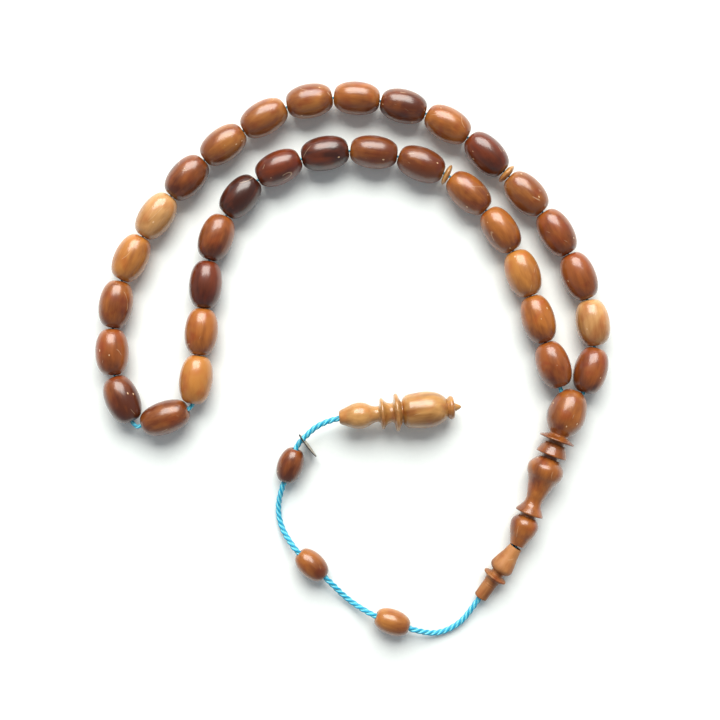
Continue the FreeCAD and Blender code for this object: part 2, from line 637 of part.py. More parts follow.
sketch.addConstraint(Sketcher.Constraint("PointOnObject", disc, 3, -2))
for name, rule, cell in [
    ("EyeRadius", Sketcher.Constraint("Radius", eye, size["sequin_hole_r"]), "sequin_hole_r"),
    ("Radius", Sketcher.Constraint("Radius", disc, size["sequin_r"]), "sequin_r"),
    ("Offset", Sketcher.Constraint("DistanceY", disc, 3, -1, 1, size["sequin_off"]),
     "sequin_off"),
]:
    at = sketch.addConstraint(rule)
    sketch.renameConstraint(at, name)
    sketch.setExpression("Constraints." + name, "Sizes." + cell)
plate = sequin.newObject("PartDesign::Pad", "sequin_Plate")
plate.Profile = sketch
plate.Midplane = True
plate.setExpression("Length", "Sizes.sequin_t")
sequin.Placement = sequin_at
parts.append(sequin)

# ------------------------------------------------------------------ check, place and write

doc.recompute()
for thing in doc.Objects:
    if "Invalid" in thing.State or "Error" in thing.State:
        raise RuntimeError("%s: %s" % (thing.Name, thing.State))
for part in parts:
    shape = part.Shape
    if shape.isNull() or not shape.isValid() or len(shape.Solids) != 1:
        raise RuntimeError("%s has no valid single solid" % part.Label)

os.makedirs("parts", exist_ok=True)
for part in parts:
    part.Shape.exportStep("parts/%s.step" % part.Label)
print("%d sub-parts written" % len(parts))
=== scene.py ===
"""A string of turned nut prayer beads: the looks of each piece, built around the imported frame."""

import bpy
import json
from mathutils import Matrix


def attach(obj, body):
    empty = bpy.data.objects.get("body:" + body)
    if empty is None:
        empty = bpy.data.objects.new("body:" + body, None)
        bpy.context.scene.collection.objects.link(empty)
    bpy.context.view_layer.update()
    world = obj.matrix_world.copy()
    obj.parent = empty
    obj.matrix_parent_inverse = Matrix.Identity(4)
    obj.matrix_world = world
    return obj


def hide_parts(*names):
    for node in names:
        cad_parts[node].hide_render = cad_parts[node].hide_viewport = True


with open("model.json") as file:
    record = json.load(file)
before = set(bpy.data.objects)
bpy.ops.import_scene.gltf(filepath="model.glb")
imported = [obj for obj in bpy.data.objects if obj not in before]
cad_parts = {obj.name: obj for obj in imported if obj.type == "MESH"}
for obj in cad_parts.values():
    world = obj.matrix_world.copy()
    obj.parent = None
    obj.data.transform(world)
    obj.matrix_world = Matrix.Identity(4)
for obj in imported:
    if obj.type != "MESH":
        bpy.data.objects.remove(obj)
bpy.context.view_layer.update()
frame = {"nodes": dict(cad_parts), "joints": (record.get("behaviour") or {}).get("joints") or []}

import json
import math

import bmesh
import bpy
import numpy as np
from mathutils import Matrix, Vector

bl_info = {
    "name": "Prayer beads",
    "version": (1, 0, 0),
    "blender": (4, 5, 0),
    "location": "3D View > Sidebar > Beads",
    "description": "Builds a laid-out string of prayer beads, piece by piece, around its frame",
    "category": "Add Mesh",
}

MM = 0.001

# ------------------------------------------------------------------ the frame's own numbers

JOINTS = {joint["name"]: joint for joint in frame["joints"]}
STRING = "string"


def node_points(name):
    """The distinct corners of a CAD node, in metres."""
    mesh = frame["nodes"][name].data
    corners = np.empty(len(mesh.vertices) * 3, np.float32)
    mesh.vertices.foreach_get("co", corners)
    return np.unique(np.round(corners.reshape(-1, 3).astype(float), 7), axis=0)


def spin_of(body):
    """Middle and direction of the line that a body turns about."""
    joint = JOINTS[body + "_spin"]
    return Vector(joint["pos_m"]), Vector(joint["axis"]).normalized()


def lying_frame(origin, ahead):
    """A frame at origin with X ahead, Y level and Z as near upright as it can be."""
    ahead = ahead.normalized()
    level = Vector((0, 0, 1)).cross(ahead).normalized()
    upright = ahead.cross(level)
    turn = Matrix((ahead, level, upright)).transposed().to_4x4()
    return Matrix.Translation(origin) @ turn


def span_on(name, middle, ahead):
    """How far a node reaches back and ahead of a point along a line, in metres."""
    along = (node_points(name) - np.array(middle)) @ np.array(ahead)
    return along.min(), along.max()


def far_rings(name, towards, back):
    """The centre of the ring at a turned node's far end, the one nearest to a point, and its
    direction, found from that ring and the one that lies a given way back along it."""
    points = node_points(name)
    ahead = np.linalg.eigh(np.cov(points.T))[1][:, 2]
    if (np.array(towards) - points.mean(0)) @ ahead < 0:
        ahead = -ahead
    for reach in (0.3, 0.15, 0.08, 0.05, 0.05):
        along = points @ ahead
        last = points[along > along.max() - reach * MM].mean(0)
        neck = points[np.abs(along - along.max() + back) < reach * MM].mean(0)
        ahead = (last - neck) / np.linalg.norm(last - neck)
    return Vector(last), Vector(ahead)


foot_middle, foot_ahead = spin_of("foot")
FOOT_FRAME = lying_frame(
    foot_middle + foot_ahead * span_on("headpiece_foot", foot_middle, foot_ahead)[0], foot_ahead
)
HEAD_LENGTH = 45.35
HEAD_NECK = 13.2
head_end, head_ahead = far_rings("headpiece", foot_middle, (HEAD_LENGTH - HEAD_NECK) * MM)
HEAD_FRAME = lying_frame(head_end - head_ahead * (HEAD_LENGTH * MM), head_ahead)
ornament_middle, ornament_ahead = spin_of("ornament")
ORNAMENT_FRAME = lying_frame(
    ornament_middle
    + ornament_ahead * span_on("ornament_socket", ornament_middle, ornament_ahead)[0],
    ornament_ahead,
)

# ------------------------------------------------------------------ sizes in millimetres

# Outlines of the turned pieces: place along the axis, radius, and the edge that leads on from
# there: None is straight, a number is an arc's first slope in degrees, "on" carries the arc on.
HEADPIECE = [
    (0, 1.7, 64), (3.0, 4.4, "on"), (6.6, 5.2, "on"), (10.4, 4.45, "on"), (12.8, 2.6, None),
    (13.2, 2.6, None), (14.2, 4.8, 70), (14.65, 4.8, None), (14.95, 2.55, None),
    (15.6, 2.55, None), (15.7, 2.85, 35), (18.45, 4.2, None), (18.75, 4.3, None),
    (19.0, 4.2, None), (19.15, 2.35, None), (19.9, 2.35, None), (20.0, 2.75, 50),
    (21.6, 4.35, "on"), (23.4, 5.0, "on"), (25.6, 4.35, "on"), (28.0, 3.3, "on"),
    (31.3, 2.4, "on"), (34.2, 2.9, "on"), (35.75, 3.9, None), (36.1, 3.85, None),
    (36.25, 2.25, None), (37.0, 2.25, None), (37.1, 2.4, 60), (38.4, 3.6, "on"),
    (39.9, 3.85, "on"), (43.0, 2.85, None), (45.35, 2.0, None),
]
FOOT = [
    (0, 1.78, None), (2.8, 2.32, 16), (6.4, 3.2, "on"), (8.0, 2.5, None), (8.3, 1.75, None),
    (9.2, 1.75, None), (9.45, 2.05, None), (9.7, 3.2, 70), (10.35, 3.2, "on"),
    (11.1, 2.1, None), (11.9, 1.95, None), (12.3, 1.8, None), (12.5, 1.95, None),
    (12.8, 1.8, None), (13.0, 1.9, None), (16.9, 1.86, -5), (17.3, 1.5, None),
]
SOCKET = [
    (0, 1.5, 62), (0.6, 2.05, None), (3.0, 3.05, 24), (5.4, 3.62, "on"), (8.3, 2.85, "on"),
    (10.5, 2.15, "on"), (11.1, 2.4, None), (11.4, 4.0, 70), (12.25, 4.05, -62),
    (14.1, 2.7, None), (14.6, 2.65, None), (15.0, 2.85, None), (15.3, 4.75, 80),
    (16.35, 4.8, None), (17.2, 2.85, None),
]
BARREL = [
    (17.2, 2.8, None), (17.4, 2.8, None), (17.5, 3.25, 64), (19.5, 4.7, "on"),
    (23.0, 5.05, "on"), (26.6, 4.65, "on"), (29.4, 2.95, None), (29.7, 2.5, None),
]
FINIAL = [
    (29.7, 2.5, None), (30.25, 2.95, 60), (30.85, 3.25, "on"), (31.5, 2.9, None),
    (31.75, 1.3, None), (33.3, 0.5, -45), (33.65, 0.12, None),
]
# The bores: the points that close each outline, before its first station and after its last.
HEAD_BORE = ([(0, 0)], [(45.35, 1.5), (7.0, 1.5), (7.0, 0.0)])
FOOT_BORE = ([], [(17.3, 1.15), (7.4, 1.15), (7.4, 1.45), (0, 1.45)])
SOCKET_BORE = ([], [(17.2, 1.9), (13.9, 1.9), (13.9, 1.4), (2.6, 1.4), (2.6, 1.15), (0, 1.15)])
BARREL_BORE = ([(14.3, 0), (14.3, 1.86), (17.2, 1.86)], [(29.7, 0.93), (27.3, 0.93), (27.3, 0.0)])
FINIAL_PEG = ([(27.6, 0), (27.6, 0.9), (29.7, 0.9)], [(33.68, 0)])
HEAD_MOUTHS = ((-0.1, 2.6, -0.35), (0.6, -3.8, -0.35))
HOLE_MEETS = 7.5
HOLE_RADIUS = 0.95
STRAND_SIDE = 0.62
STRAND_DROP = -0.35

# The loop's route over the table, bead end to bead end, and the tail's, in the frame's X and Y.
SHIFT = (0.1, -0.2)
LOOP_HEIGHT = 4.7
LOOP = [
    (67.0, 3.6), (64.7, 16.7), (59.4, 29.2), (52.3, 40.8), (42.9, 50.4), (41.4, 51.8),
    (31.8, 61.4), (20.2, 68.0), (7.5, 71.4), (-5.5, 72.4), (-18.5, 69.9), (-30.3, 63.1),
    (-41.1, 55.1), (-50.2, 45.1), (-58.0, 34.0), (-64.0, 21.9), (-66.3, 8.7), (-66.1, -4.5),
    (-61.3, -15.4), (-59.9, -18.7), (-56.5, -17.5), (-47.6, -14.4), (-44.2, -13.2),
    (-43.8, -9.8), (-42.3, 1.3), (-41.1, 14.2), (-39.9, 27.4), (-35.3, 39.9),
    (-26.6, 49.9), (-14.4, 55.6), (-1.0, 57.9), (12.4, 56.3), (24.9, 51.3), (26.7, 50.4),
    (36.8, 41.3), (44.3, 30.1), (48.9, 17.6), (52.8, 4.8),
]
# The first points stand inside the foot and past its sleeve.  Each bead that the tail carries
# holds it straight, so a bead's run has a point at both mouths.
TAIL = [
    (29.6, -73.4, 1.3), (23.3, -76.3, 1.1), (16.9, -74.5, 3.6), (15.3, -73.9, 3.6),
    (6.3, -70.6, 3.6), (4.7, -70.0, 3.6), (-1.2, -66.9, 1.1), (-6.5, -61.1, 3.6),
    (-7.8, -59.9, 3.6), (-15.0, -53.1, 3.6), (-16.3, -51.9, 3.6), (-20.1, -46.6, 1.1),
    (-21.0, -40.6, 1.3), (-19.6, -35.2, 3.15), (-19.0, -33.6, 3.3), (-15.7, -24.5, 4.0),
    (-15.1, -22.9, 4.1), (-7.9, -16.1, 5.9),
]
# Where the loop's cord lies slack: a middle and a reach.
SLACK_PLACES = (((-59.8, -19.2), 3.2), ((-43.6, -12.8), 3.6), ((58.0, -6.0), 12.0))
TIGHT_CORD = 0.62
# How far a strand lies from a cord's middle, and its radius, as shares of the cord's diameter.
STRAND_AWAY = 0.272
STRAND_HALF = 0.225
KNOT_RADIUS = 0.85 * MM
KNOT_CORD = 0.75 * MM
FOOT_KNOT = 5.6
TAIL_STARTS = 6.6
TAIL_CLEAR = 20.5
ORNAMENT_KNOT = 5.6
TAIL_STOPS = 4.6

# Tone, overall shade and end-to-end change of shade of every bead, first bead to last. The
# end-to-end change is partly the bead's own tone and partly painted light: it makes the end that
# faces the window lighter.
BEAD_TONES = [
    ("chestnut", 0.00, 0.30), ("pale", 0.05, 0.35), ("chestnut", 0.20, 0.45),
    ("chestnut", 0.10, 0.40), ("honey", -0.30, 0.25), ("dark", 0.30, 0.35),
    ("amber", 0.25, 0.10), ("chestnut", -0.25, 0.10), ("amber", 0.10, 0.10),
    ("honey", -0.35, 0.00), ("honey", -0.30, 0.00), ("honey", -0.30, -0.20),
    ("chestnut", -0.20, -0.30), ("pale", 0.10, -0.35), ("honey", 0.30, -0.25),
    ("amber", -0.10, -0.40), ("chestnut", 0.20, -0.30), ("chestnut", -0.25, -0.45),
    ("amber", -0.35, 0.00), ("honey", 0.40, 0.35), ("amber", 0.20, 0.35),
    ("dark", 0.10, 0.40), ("chestnut", 0.00, 0.50), ("dark", -0.40, 0.00),
    ("dark", 0.20, 0.10), ("dark", -0.30, -0.15), ("amber", -0.45, -0.30),
    ("amber", -0.50, -0.20), ("amber", 0.00, -0.40), ("amber", 0.10, -0.30),
    ("honey", 0.45, -0.40), ("amber", 0.20, -0.40), ("chestnut", 0.30, -0.30),
]
# The tail's beads the same way; their end-to-end change also holds painted light, lighter at the
# end toward the window.
TAIL_BEAD_TONES = [("honey", 0.00, 0.20), ("amber", 0.00, 0.35), ("chestnut", -0.10, 0.35)]

# ------------------------------------------------------------------ colours


def linear(code, alpha=1.0):
    """An sRGB hex colour as the linear values that shaders use."""
    parts = [int(code[at:at + 2], 16) / 255 for at in (1, 3, 5)]
    return (*(p / 12.92 if p <= 0.04045 else ((p + 0.055) / 1.055) ** 2.4 for p in parts), alpha)


NUT_TONES = {
    "pale": ("#97622F", "#CF9C62"),
    "honey": ("#82471D", "#BC7B36"),
    "amber": ("#6B3312", "#AA6526"),
    "chestnut": ("#54240D", "#98521F"),
    "dark": ("#3A160A", "#74300F"),
    "satin": ("#7A4522", "#B57B48"),
    "golden": ("#84531F", "#C89556"),
}


def distance(title, value, note):
    """A length that can be set in the panel, in metres."""
    return bpy.props.FloatProperty(
        name=title, description=note, default=value, subtype="DISTANCE", unit="LENGTH")


def amount(title, value, note, **limits):
    """A plain number that can be set in the panel."""
    return bpy.props.FloatProperty(name=title, description=note, default=value, **limits)


def tint(title, code, note):
    """A colour that can be set in the panel."""
    return bpy.props.FloatVectorProperty(
        name=title, description=note, default=linear(code)[:3], size=3, subtype="COLOR")


class BeadSizes(bpy.types.PropertyGroup):
    """Sizes of the beads, the discs and the two cords."""

    rim_radius: distance("Rim radius", 1.05 * MM, "Radius of the rim round a bead's bore")
    bore_radius: distance("Bore radius", 0.80 * MM, "Radius of the bore through a bead")
    small_rim_radius: distance(
        "Tail bead rim", 1.35 * MM, "Radius of the rim of a bead on the tail")
    small_bore_radius: distance(
        "Tail bead bore", 1.15 * MM, "Radius of the bore of a bead on the tail")
    fullness: amount("Fullness", 0.88, "How full a bead's ends are: less is fuller", min=0.3,
                     max=1.5)
    small_fullness: amount(
        "Tail fullness", 1.15, "How full the ends of a tail bead are: less is fuller",
        min=0.3, max=1.5)
    snug: distance("Snugness", 0.20 * MM, "How much longer than drawn a bead is, to meet the next")
    loop_diameter: distance("Loop cord", 1.2 * MM, "Diameter of the cord through the beads")
    tail_diameter: distance("Tail cord", 1.6 * MM, "Diameter of the cord of the tail")
    twist_length: distance(
        "Twist length", 5.6 * MM, "Length of cord in which a strand goes once round")
    strands: bpy.props.IntProperty(
        name="Strands", description="Number of strands laid together in a cord", default=3, min=2)


class BeadColours(bpy.types.PropertyGroup):
    """Colours of the cord, the sequin and the table."""

    cord_crest: tint("Cord crest", "#069CC6", "Colour of the crowns of the cord's strands")
    # The flank colour is painted sheen: light glancing off and through the strands' thin sides.
    cord_flank_sheen: tint("Cord flank", "#8CE9F5", "Colour of the thin sides of the strands")
    sequin: tint("Sequin", "#A3957F", "Colour of the sequin's worn face")
    # The table's cool tint offsets the warm light that the beads throw into its shadows; the board
    # also glows faintly in this colour, as painted light.
    table: tint("Table", "#EDF4F4", "Colour of the table top")


class BeadStage(bpy.types.PropertyGroup):
    """The camera's place and the strength of the lights."""

    camera_height: distance("Camera height", 0.300, "Height of the camera over the table")
    camera_lens: amount("Lens", 53.75, "Focal length of the camera", min=10)
    window_power: amount("Window", 24.0, "Power of the window light", min=0)
    room_strength: amount("Room", 0.45, "Strength of the light from the room", min=0)


# ------------------------------------------------------------------ small helpers


def add(tree, kind, *inputs, **settings):
    """Adds a node to a tree, with its settings, and its inputs as values or links: by name in one
    dict, or in order.  A kind in capitals is the operation of a sum."""
    if kind.isupper():
        kind, settings = "ShaderNodeMath", {"operation": kind, **settings}
    made = tree.nodes.new(kind)
    for name, value in settings.items():
        setattr(made, name, value)
    named = inputs and isinstance(inputs[0], dict)
    for key, value in (inputs[0].items() if named else enumerate(inputs)):
        if isinstance(value, bpy.types.Node):
            value = value.outputs[0]
        if isinstance(value, bpy.types.NodeSocket):
            tree.links.new(value, made.inputs[key])
        else:
            made.inputs[key].default_value = value
    return made


def new_tree(name, sockets):
    """An empty geometry tree with named inputs: (name, kind, default) each."""
    tree = bpy.data.node_groups.new(name, "GeometryNodeTree")
    tree.interface.new_socket("Geometry", in_out="INPUT", socket_type="NodeSocketGeometry")
    for title, kind, default in sockets:
        socket = tree.interface.new_socket(title, in_out="INPUT", socket_type="NodeSocket" + kind)
        if default is not None:
            socket.default_value = default
    tree.interface.new_socket("Geometry", in_out="OUTPUT", socket_type="NodeSocketGeometry")
    return tree, add(tree, "NodeGroupInput")


def close_tree(tree, ask, shape):
    """Ends a tree: instances made real, faces smooth, its material set."""
    real = add(tree, "GeometryNodeRealizeInstances", {"Geometry": shape})
    smooth = add(tree, "GeometryNodeSetShadeSmooth", {"Geometry": real})
    painted = add(tree, "GeometryNodeSetMaterial",
                  {"Geometry": smooth, "Material": ask.outputs["Material"]})
    add(tree, "NodeGroupOutput", painted)


def grown(tree, start, values):
    """The plain mesh that a tree makes from a starting mesh and values for its inputs."""
    holder = bpy.data.objects.new("holder", start)
    bpy.context.scene.collection.objects.link(holder)
    modifier = holder.modifiers.new("Make", "NODES")
    modifier.node_group = tree
    for item in tree.interface.items_tree:
        if item.in_out == "INPUT" and item.name in values:
            modifier[item.identifier] = values[item.name]
    mesh = plain_mesh(holder)
    bpy.data.objects.remove(holder)
    return mesh


def plain_mesh(holder):
    """An object as a plain mesh, its modifiers worked in."""
    bpy.context.view_layer.update()
    graph = bpy.context.evaluated_depsgraph_get()
    return bpy.data.meshes.new_from_object(
        holder.evaluated_get(graph), preserve_all_data_layers=True, depsgraph=graph)


def store(mesh, name, values):
    """Keeps a number or a direction for every corner of a mesh, for its material to read."""
    kind, field = ("FLOAT", "value") if values.ndim == 1 else ("FLOAT_VECTOR", "vector")
    kept = mesh.attributes.new(name, kind, "POINT")
    kept.data.foreach_set(field, values.astype(np.float32).ravel())


def finished(name, mesh, body, nodes):
    """Links a finished mesh as a piece that rides on its body and stands for its CAD nodes."""
    mesh.name = name
    mesh.shade_smooth()
    mesh.set_sharp_from_angle(angle=math.radians(42))
    piece = bpy.data.objects.new(name, mesh)
    bpy.context.scene.collection.objects.link(piece)
    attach(piece, body)
    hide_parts(*nodes)
    return piece


# ------------------------------------------------------------------ materials


def nut_material(tone):
    """Polished tropical nut shell.  A hard, dense brown shell, turned and buffed: warm patches
    that drift along the piece, fine fibres that follow its axis, small pale pores, a few hairline
    scratches, and a waxy gloss that breaks up over the fibres."""
    deep, light = NUT_TONES[tone]
    satin = tone == "satin"
    made = bpy.data.materials.new("nut_shell_" + tone)
    made.use_nodes = True
    tree = made.node_tree
    shader = tree.nodes["Principled BSDF"]
    grain = add(tree, "ShaderNodeAttribute", attribute_name="grain").outputs["Vector"]
    # The tone: each piece's own shade, plus a slant along it that is partly its own tone and partly
    # painted light, lighter at the end facing the window.
    tone_shift = add(tree, "ShaderNodeAttribute", attribute_name="tone").outputs["Fac"]

    # Patches some 6 mm across and 10 mm long.
    patch_at = add(tree, "ShaderNodeMapping", {"Vector": grain, "Scale": (0.10, 0.17, 0.17)})
    patch = add(tree, "ShaderNodeTexNoise",
                {"Vector": patch_at, "Scale": 1.0, "Detail": 2.5, "Roughness": 0.55,
                 "Distortion": 0.6})
    patch_part = add(tree, "MULTIPLY_ADD", patch, 2.2, -1.1)

    # Fibres 0.3 mm apart; the real ones are half that and would not show.
    fibre_at = add(tree, "ShaderNodeMapping", {"Vector": grain, "Scale": (0.22, 3.2, 3.2)})
    fibre = add(tree, "ShaderNodeTexNoise",
                {"Vector": fibre_at, "Scale": 1.0, "Detail": 3.0, "Roughness": 0.6,
                 "Distortion": 0.4})
    fibre_part = add(tree, "MULTIPLY_ADD", fibre, 0.5, -0.25)
    band_at = add(tree, "ShaderNodeMapping", {"Vector": grain, "Scale": (0.07, 0.75, 0.75)})
    band = add(tree, "ShaderNodeTexNoise",
               {"Vector": band_at, "Scale": 1.0, "Detail": 2.0, "Roughness": 0.5})
    band_part = add(tree, "MULTIPLY_ADD", band, 0.8, -0.40)

    sum_one = add(tree, "ADD", patch_part, fibre_part)
    sum_two = add(tree, "ADD", sum_one, band_part)
    sum_three = add(tree, "ADD", sum_two, tone_shift)
    share = add(tree, "ADD", sum_three, 0.5, use_clamp=True)
    body = add(tree, "ShaderNodeMix", {"Factor": share, "A": linear(deep), "B": linear(light)},
               data_type="RGBA")

    # Redder clouds some 4 mm across.
    cloud = add(tree, "ShaderNodeTexNoise",
                {"Vector": grain, "Scale": 0.26, "Detail": 1.0, "Distortion": 0.3})
    cloud_part = add(tree, "ShaderNodeMapRange",
                     {"Value": cloud, "From Min": 0.50, "From Max": 0.72, "To Max": 0.45})
    warm = add(tree, "ShaderNodeMix",
               {"Factor": cloud_part, "A": body.outputs["Result"], "B": linear("#9A4A22")},
               data_type="RGBA", blend_type="SOFT_LIGHT")

    # Pores of about 0.3 mm, pale where polish has filled them, and only in some of the cells.
    pore_at = add(tree, "ShaderNodeMapping", {"Vector": grain, "Scale": (0.45, 0.8, 0.8)})
    pore = add(tree, "ShaderNodeTexVoronoi", {"Vector": pore_at, "Scale": 1.0})
    pore_round = add(tree, "ShaderNodeMapRange",
                     {"Value": pore.outputs["Distance"], "From Min": 0.17, "From Max": 0.11})
    pore_pick = add(tree, "GREATER_THAN", pore.outputs["Color"], 0.80)
    pores = add(tree, "MULTIPLY", pore_round, pore_pick)
    pored = add(tree, "ShaderNodeMix",
                {"Factor": pores, "A": warm.outputs["Result"], "B": linear("#DDB88E")},
                data_type="RGBA")

    # Hairlines that wander over the piece, broken into short runs.
    line_at = add(tree, "ShaderNodeMapping",
                  {"Vector": grain, "Scale": (0.06, 0.10, 0.10), "Location": (3.1, 7.7, 1.9)})
    line = add(tree, "ShaderNodeTexNoise", {"Vector": line_at, "Scale": 1.0, "Detail": 0.0})
    line_off = add(tree, "SUBTRACT", line, 0.5)
    line_near = add(tree, "ABSOLUTE", line_off)
    line_thin = add(tree, "ShaderNodeMapRange",
                    {"Value": line_near, "From Min": 0.0045, "From Max": 0.0015})
    run = add(tree, "ShaderNodeTexNoise", {"Vector": grain, "Scale": 0.31, "Detail": 0.0})
    run_on = add(tree, "ShaderNodeMapRange", {"Value": run, "From Min": 0.60, "From Max": 0.66})
    hairs = add(tree, "MULTIPLY", line_thin, run_on)
    hair_show = add(tree, "MULTIPLY", hairs, 0.38)
    haired = add(tree, "ShaderNodeMix",
                 {"Factor": hair_show, "A": pored.outputs["Result"], "B": linear("#E0BE98")},
                 data_type="RGBA")
    tree.links.new(haired.outputs["Result"], shader.inputs["Base Color"])

    # The polish: duller along the fibres and in the pores.
    gloss_low, gloss_high = (0.36, 0.54) if satin else (0.30, 0.46)
    gloss = add(tree, "ShaderNodeMapRange",
                {"Value": fibre, "From Min": 0.3, "From Max": 0.7, "To Min": gloss_low,
                 "To Max": gloss_high})
    gloss_pored = add(tree, "MULTIPLY_ADD", pores, 0.25, gloss.outputs[0])
    tree.links.new(gloss_pored.outputs[0], shader.inputs["Roughness"])

    relief_one = add(tree, "MULTIPLY_ADD", pores, -1.2, fibre.outputs[0])
    relief = add(tree, "MULTIPLY_ADD", hairs, -0.6, relief_one.outputs[0])
    bump = add(tree, "ShaderNodeBump",
               {"Height": relief, "Strength": 0.55, "Distance": 0.035 * MM})
    tree.links.new(bump.outputs[0], shader.inputs["Normal"])
    shader.inputs["IOR"].default_value = 1.5
    shader.inputs["Specular IOR Level"].default_value = 0.35
    if not satin:
        # The wax coat is smooth, but follows the fibres in long low waves.
        wave_at = add(tree, "ShaderNodeMapping", {"Vector": grain, "Scale": (0.5, 1.5, 1.5)})
        wave = add(tree, "ShaderNodeTexNoise",
                   {"Vector": wave_at, "Scale": 1.0, "Detail": 4.0, "Roughness": 0.65})
        wave_pored = add(tree, "MULTIPLY_ADD", pores, -0.5, wave.outputs[0])
        coat_bump = add(tree, "ShaderNodeBump",
                        {"Height": wave_pored, "Strength": 0.8, "Distance": 0.06 * MM})
        tree.links.new(coat_bump.outputs[0], shader.inputs["Coat Normal"])
        shader.inputs["Coat Weight"].default_value = 0.9
        shader.inputs["Coat Roughness"].default_value = 0.16
        shader.inputs["Coat IOR"].default_value = 1.5
    return made


def cord_material():
    """Laid rayon cord.  Shiny twisted filament, dyed: saturated where a strand is thick, and pale
    on its thin sides, a painted sheen of light glancing off and through them, with filaments that
    run along each strand."""
    colours = bpy.context.scene.bead_colours
    made = bpy.data.materials.new("rayon_cord_laid")
    made.use_nodes = True
    tree = made.node_tree
    shader = tree.nodes["Principled BSDF"]
    lay = add(tree, "ShaderNodeAttribute", attribute_name="lay").outputs["Vector"]
    crest = add(tree, "ShaderNodeAttribute", attribute_name="crest").outputs["Fac"]
    # Filaments 0.11 mm apart; the real ones are finer and would not show.
    filament_at = add(tree, "ShaderNodeMapping", {"Vector": lay, "Scale": (0.5, 9.0, 9.0)})
    filament = add(tree, "ShaderNodeTexNoise", {"Vector": filament_at, "Scale": 1.0, "Detail": 2.0})
    # The strands' sides nearer the cord's middle take the pale flank colour, which is painted
    # sheen; their crowns keep the saturated dye.
    crown = add(tree, "ShaderNodeMapRange",
                {"Value": crest, "From Min": 0.70, "From Max": 0.93})
    mixed = add(tree, "MULTIPLY_ADD", filament, 0.5, crown.outputs[0])
    share = add(tree, "SUBTRACT", mixed, 0.25, use_clamp=True)
    colour = add(tree, "ShaderNodeMix",
                 {"Factor": share, "A": (*colours.cord_flank_sheen, 1), "B": (*colours.cord_crest, 1)},
                 data_type="RGBA")
    tree.links.new(colour.outputs["Result"], shader.inputs["Base Color"])
    rough = add(tree, "ShaderNodeMapRange",
                {"Value": filament, "From Min": 0.3, "From Max": 0.7, "To Min": 0.38,
                 "To Max": 0.6})
    tree.links.new(rough.outputs[0], shader.inputs["Roughness"])
    bump = add(tree, "ShaderNodeBump",
               {"Height": filament, "Strength": 0.6, "Distance": 0.05 * MM})
    tree.links.new(bump.outputs[0], shader.inputs["Normal"])
    shader.inputs["Sheen Weight"].default_value = 0.15
    shader.inputs["Sheen Roughness"].default_value = 0.4
    return made


def sequin_material():
    """Old plated sequin.  Thin stamped metal whose plating has dulled: a grey-beige sheen with
    spots of brown tarnish, the face turning darker towards the rim, and fine rub marks."""
    colours = bpy.context.scene.bead_colours
    made = bpy.data.materials.new("tarnished_sequin")
    made.use_nodes = True
    tree = made.node_tree
    shader = tree.nodes["Principled BSDF"]
    grain = add(tree, "ShaderNodeAttribute", attribute_name="grain").outputs["Vector"]
    rim = add(tree, "ShaderNodeAttribute", attribute_name="tone").outputs["Fac"]
    spots = add(tree, "ShaderNodeTexNoise",
                {"Vector": grain, "Scale": 1.1, "Detail": 4.0, "Roughness": 0.65})
    # The face is drawn darker towards the rim.
    edge = add(tree, "ShaderNodeMapRange", {"Value": rim, "From Min": 0.88, "From Max": 0.99})
    spots_and_rim_dark = add(tree, "MULTIPLY_ADD", spots, 0.8, edge.outputs[0])
    share = add(tree, "ShaderNodeMapRange",
                {"Value": spots_and_rim_dark, "From Min": 0.40, "From Max": 1.0})
    colour = add(tree, "ShaderNodeMix",
                 {"Factor": share.outputs[0], "A": (*colours.sequin, 1), "B": linear("#2E221A")},
                 data_type="RGBA")
    tree.links.new(colour.outputs["Result"], shader.inputs["Base Color"])
    rub_at = add(tree, "ShaderNodeMapping", {"Vector": grain, "Scale": (0.6, 5.0, 5.0)})
    rub = add(tree, "ShaderNodeTexNoise", {"Vector": rub_at, "Scale": 1.0, "Detail": 3.0})
    rough = add(tree, "ShaderNodeMapRange",
                {"Value": rub, "From Min": 0.3, "From Max": 0.7, "To Min": 0.28, "To Max": 0.5})
    tree.links.new(rough.outputs[0], shader.inputs["Roughness"])
    bump = add(tree, "ShaderNodeBump", {"Height": rub, "Strength": 0.3, "Distance": 0.02 * MM})
    tree.links.new(bump.outputs[0], shader.inputs["Normal"])
    shader.inputs["Metallic"].default_value = 0.85
    return made


def glowing_table_material():
    """Matt white board.  A sheet of plain board: an even white with the faintest mottle, and a
    faint glow of its own, which is painted light that lifts it and its shadows.
    """
    made = bpy.data.materials.new("white_board_glowing")
    made.use_nodes = True
    tree = made.node_tree
    shader = tree.nodes["Principled BSDF"]
    place = add(tree, "ShaderNodeTexCoord").outputs["Object"]
    mottle = add(tree, "ShaderNodeTexNoise", {"Vector": place, "Scale": 900.0, "Detail": 2.0})
    white = bpy.context.scene.bead_colours.table
    colour = add(tree, "ShaderNodeMix",
                 {"Factor": mottle, "A": (*white, 1), "B": linear("#F2F9F8")}, data_type="RGBA")
    tree.links.new(colour.outputs["Result"], shader.inputs["Base Color"])
    # Painted light: the board glows faintly in its own colour, lifting its shadows and throwing
    # light up onto the beads.
    tree.links.new(colour.outputs["Result"], shader.inputs["Emission Color"])
    shader.inputs["Emission Strength"].default_value = 0.05
    shader.inputs["Roughness"].default_value = 0.85
    shader.inputs["Specular IOR Level"].default_value = 0.2
    return made


# ------------------------------------------------------------------ cords


def route_line(name, points):
    """Points read along the smooth spline that a route's points steer, in metres."""
    curve = bpy.data.curves.new(name, "CURVE")
    curve.dimensions = "3D"
    curve.resolution_u = 16
    spline = curve.splines.new("NURBS")
    spline.points.add(len(points) - 1)
    for at, point in zip(spline.points, points):
        at.co = (*point, 1)
    spline.order_u = 3
    spline.use_endpoint_u = True
    holder = bpy.data.objects.new(name, curve)
    bpy.context.scene.collection.objects.link(holder)
    mesh = plain_mesh(holder)
    bpy.data.objects.remove(holder)
    return mesh


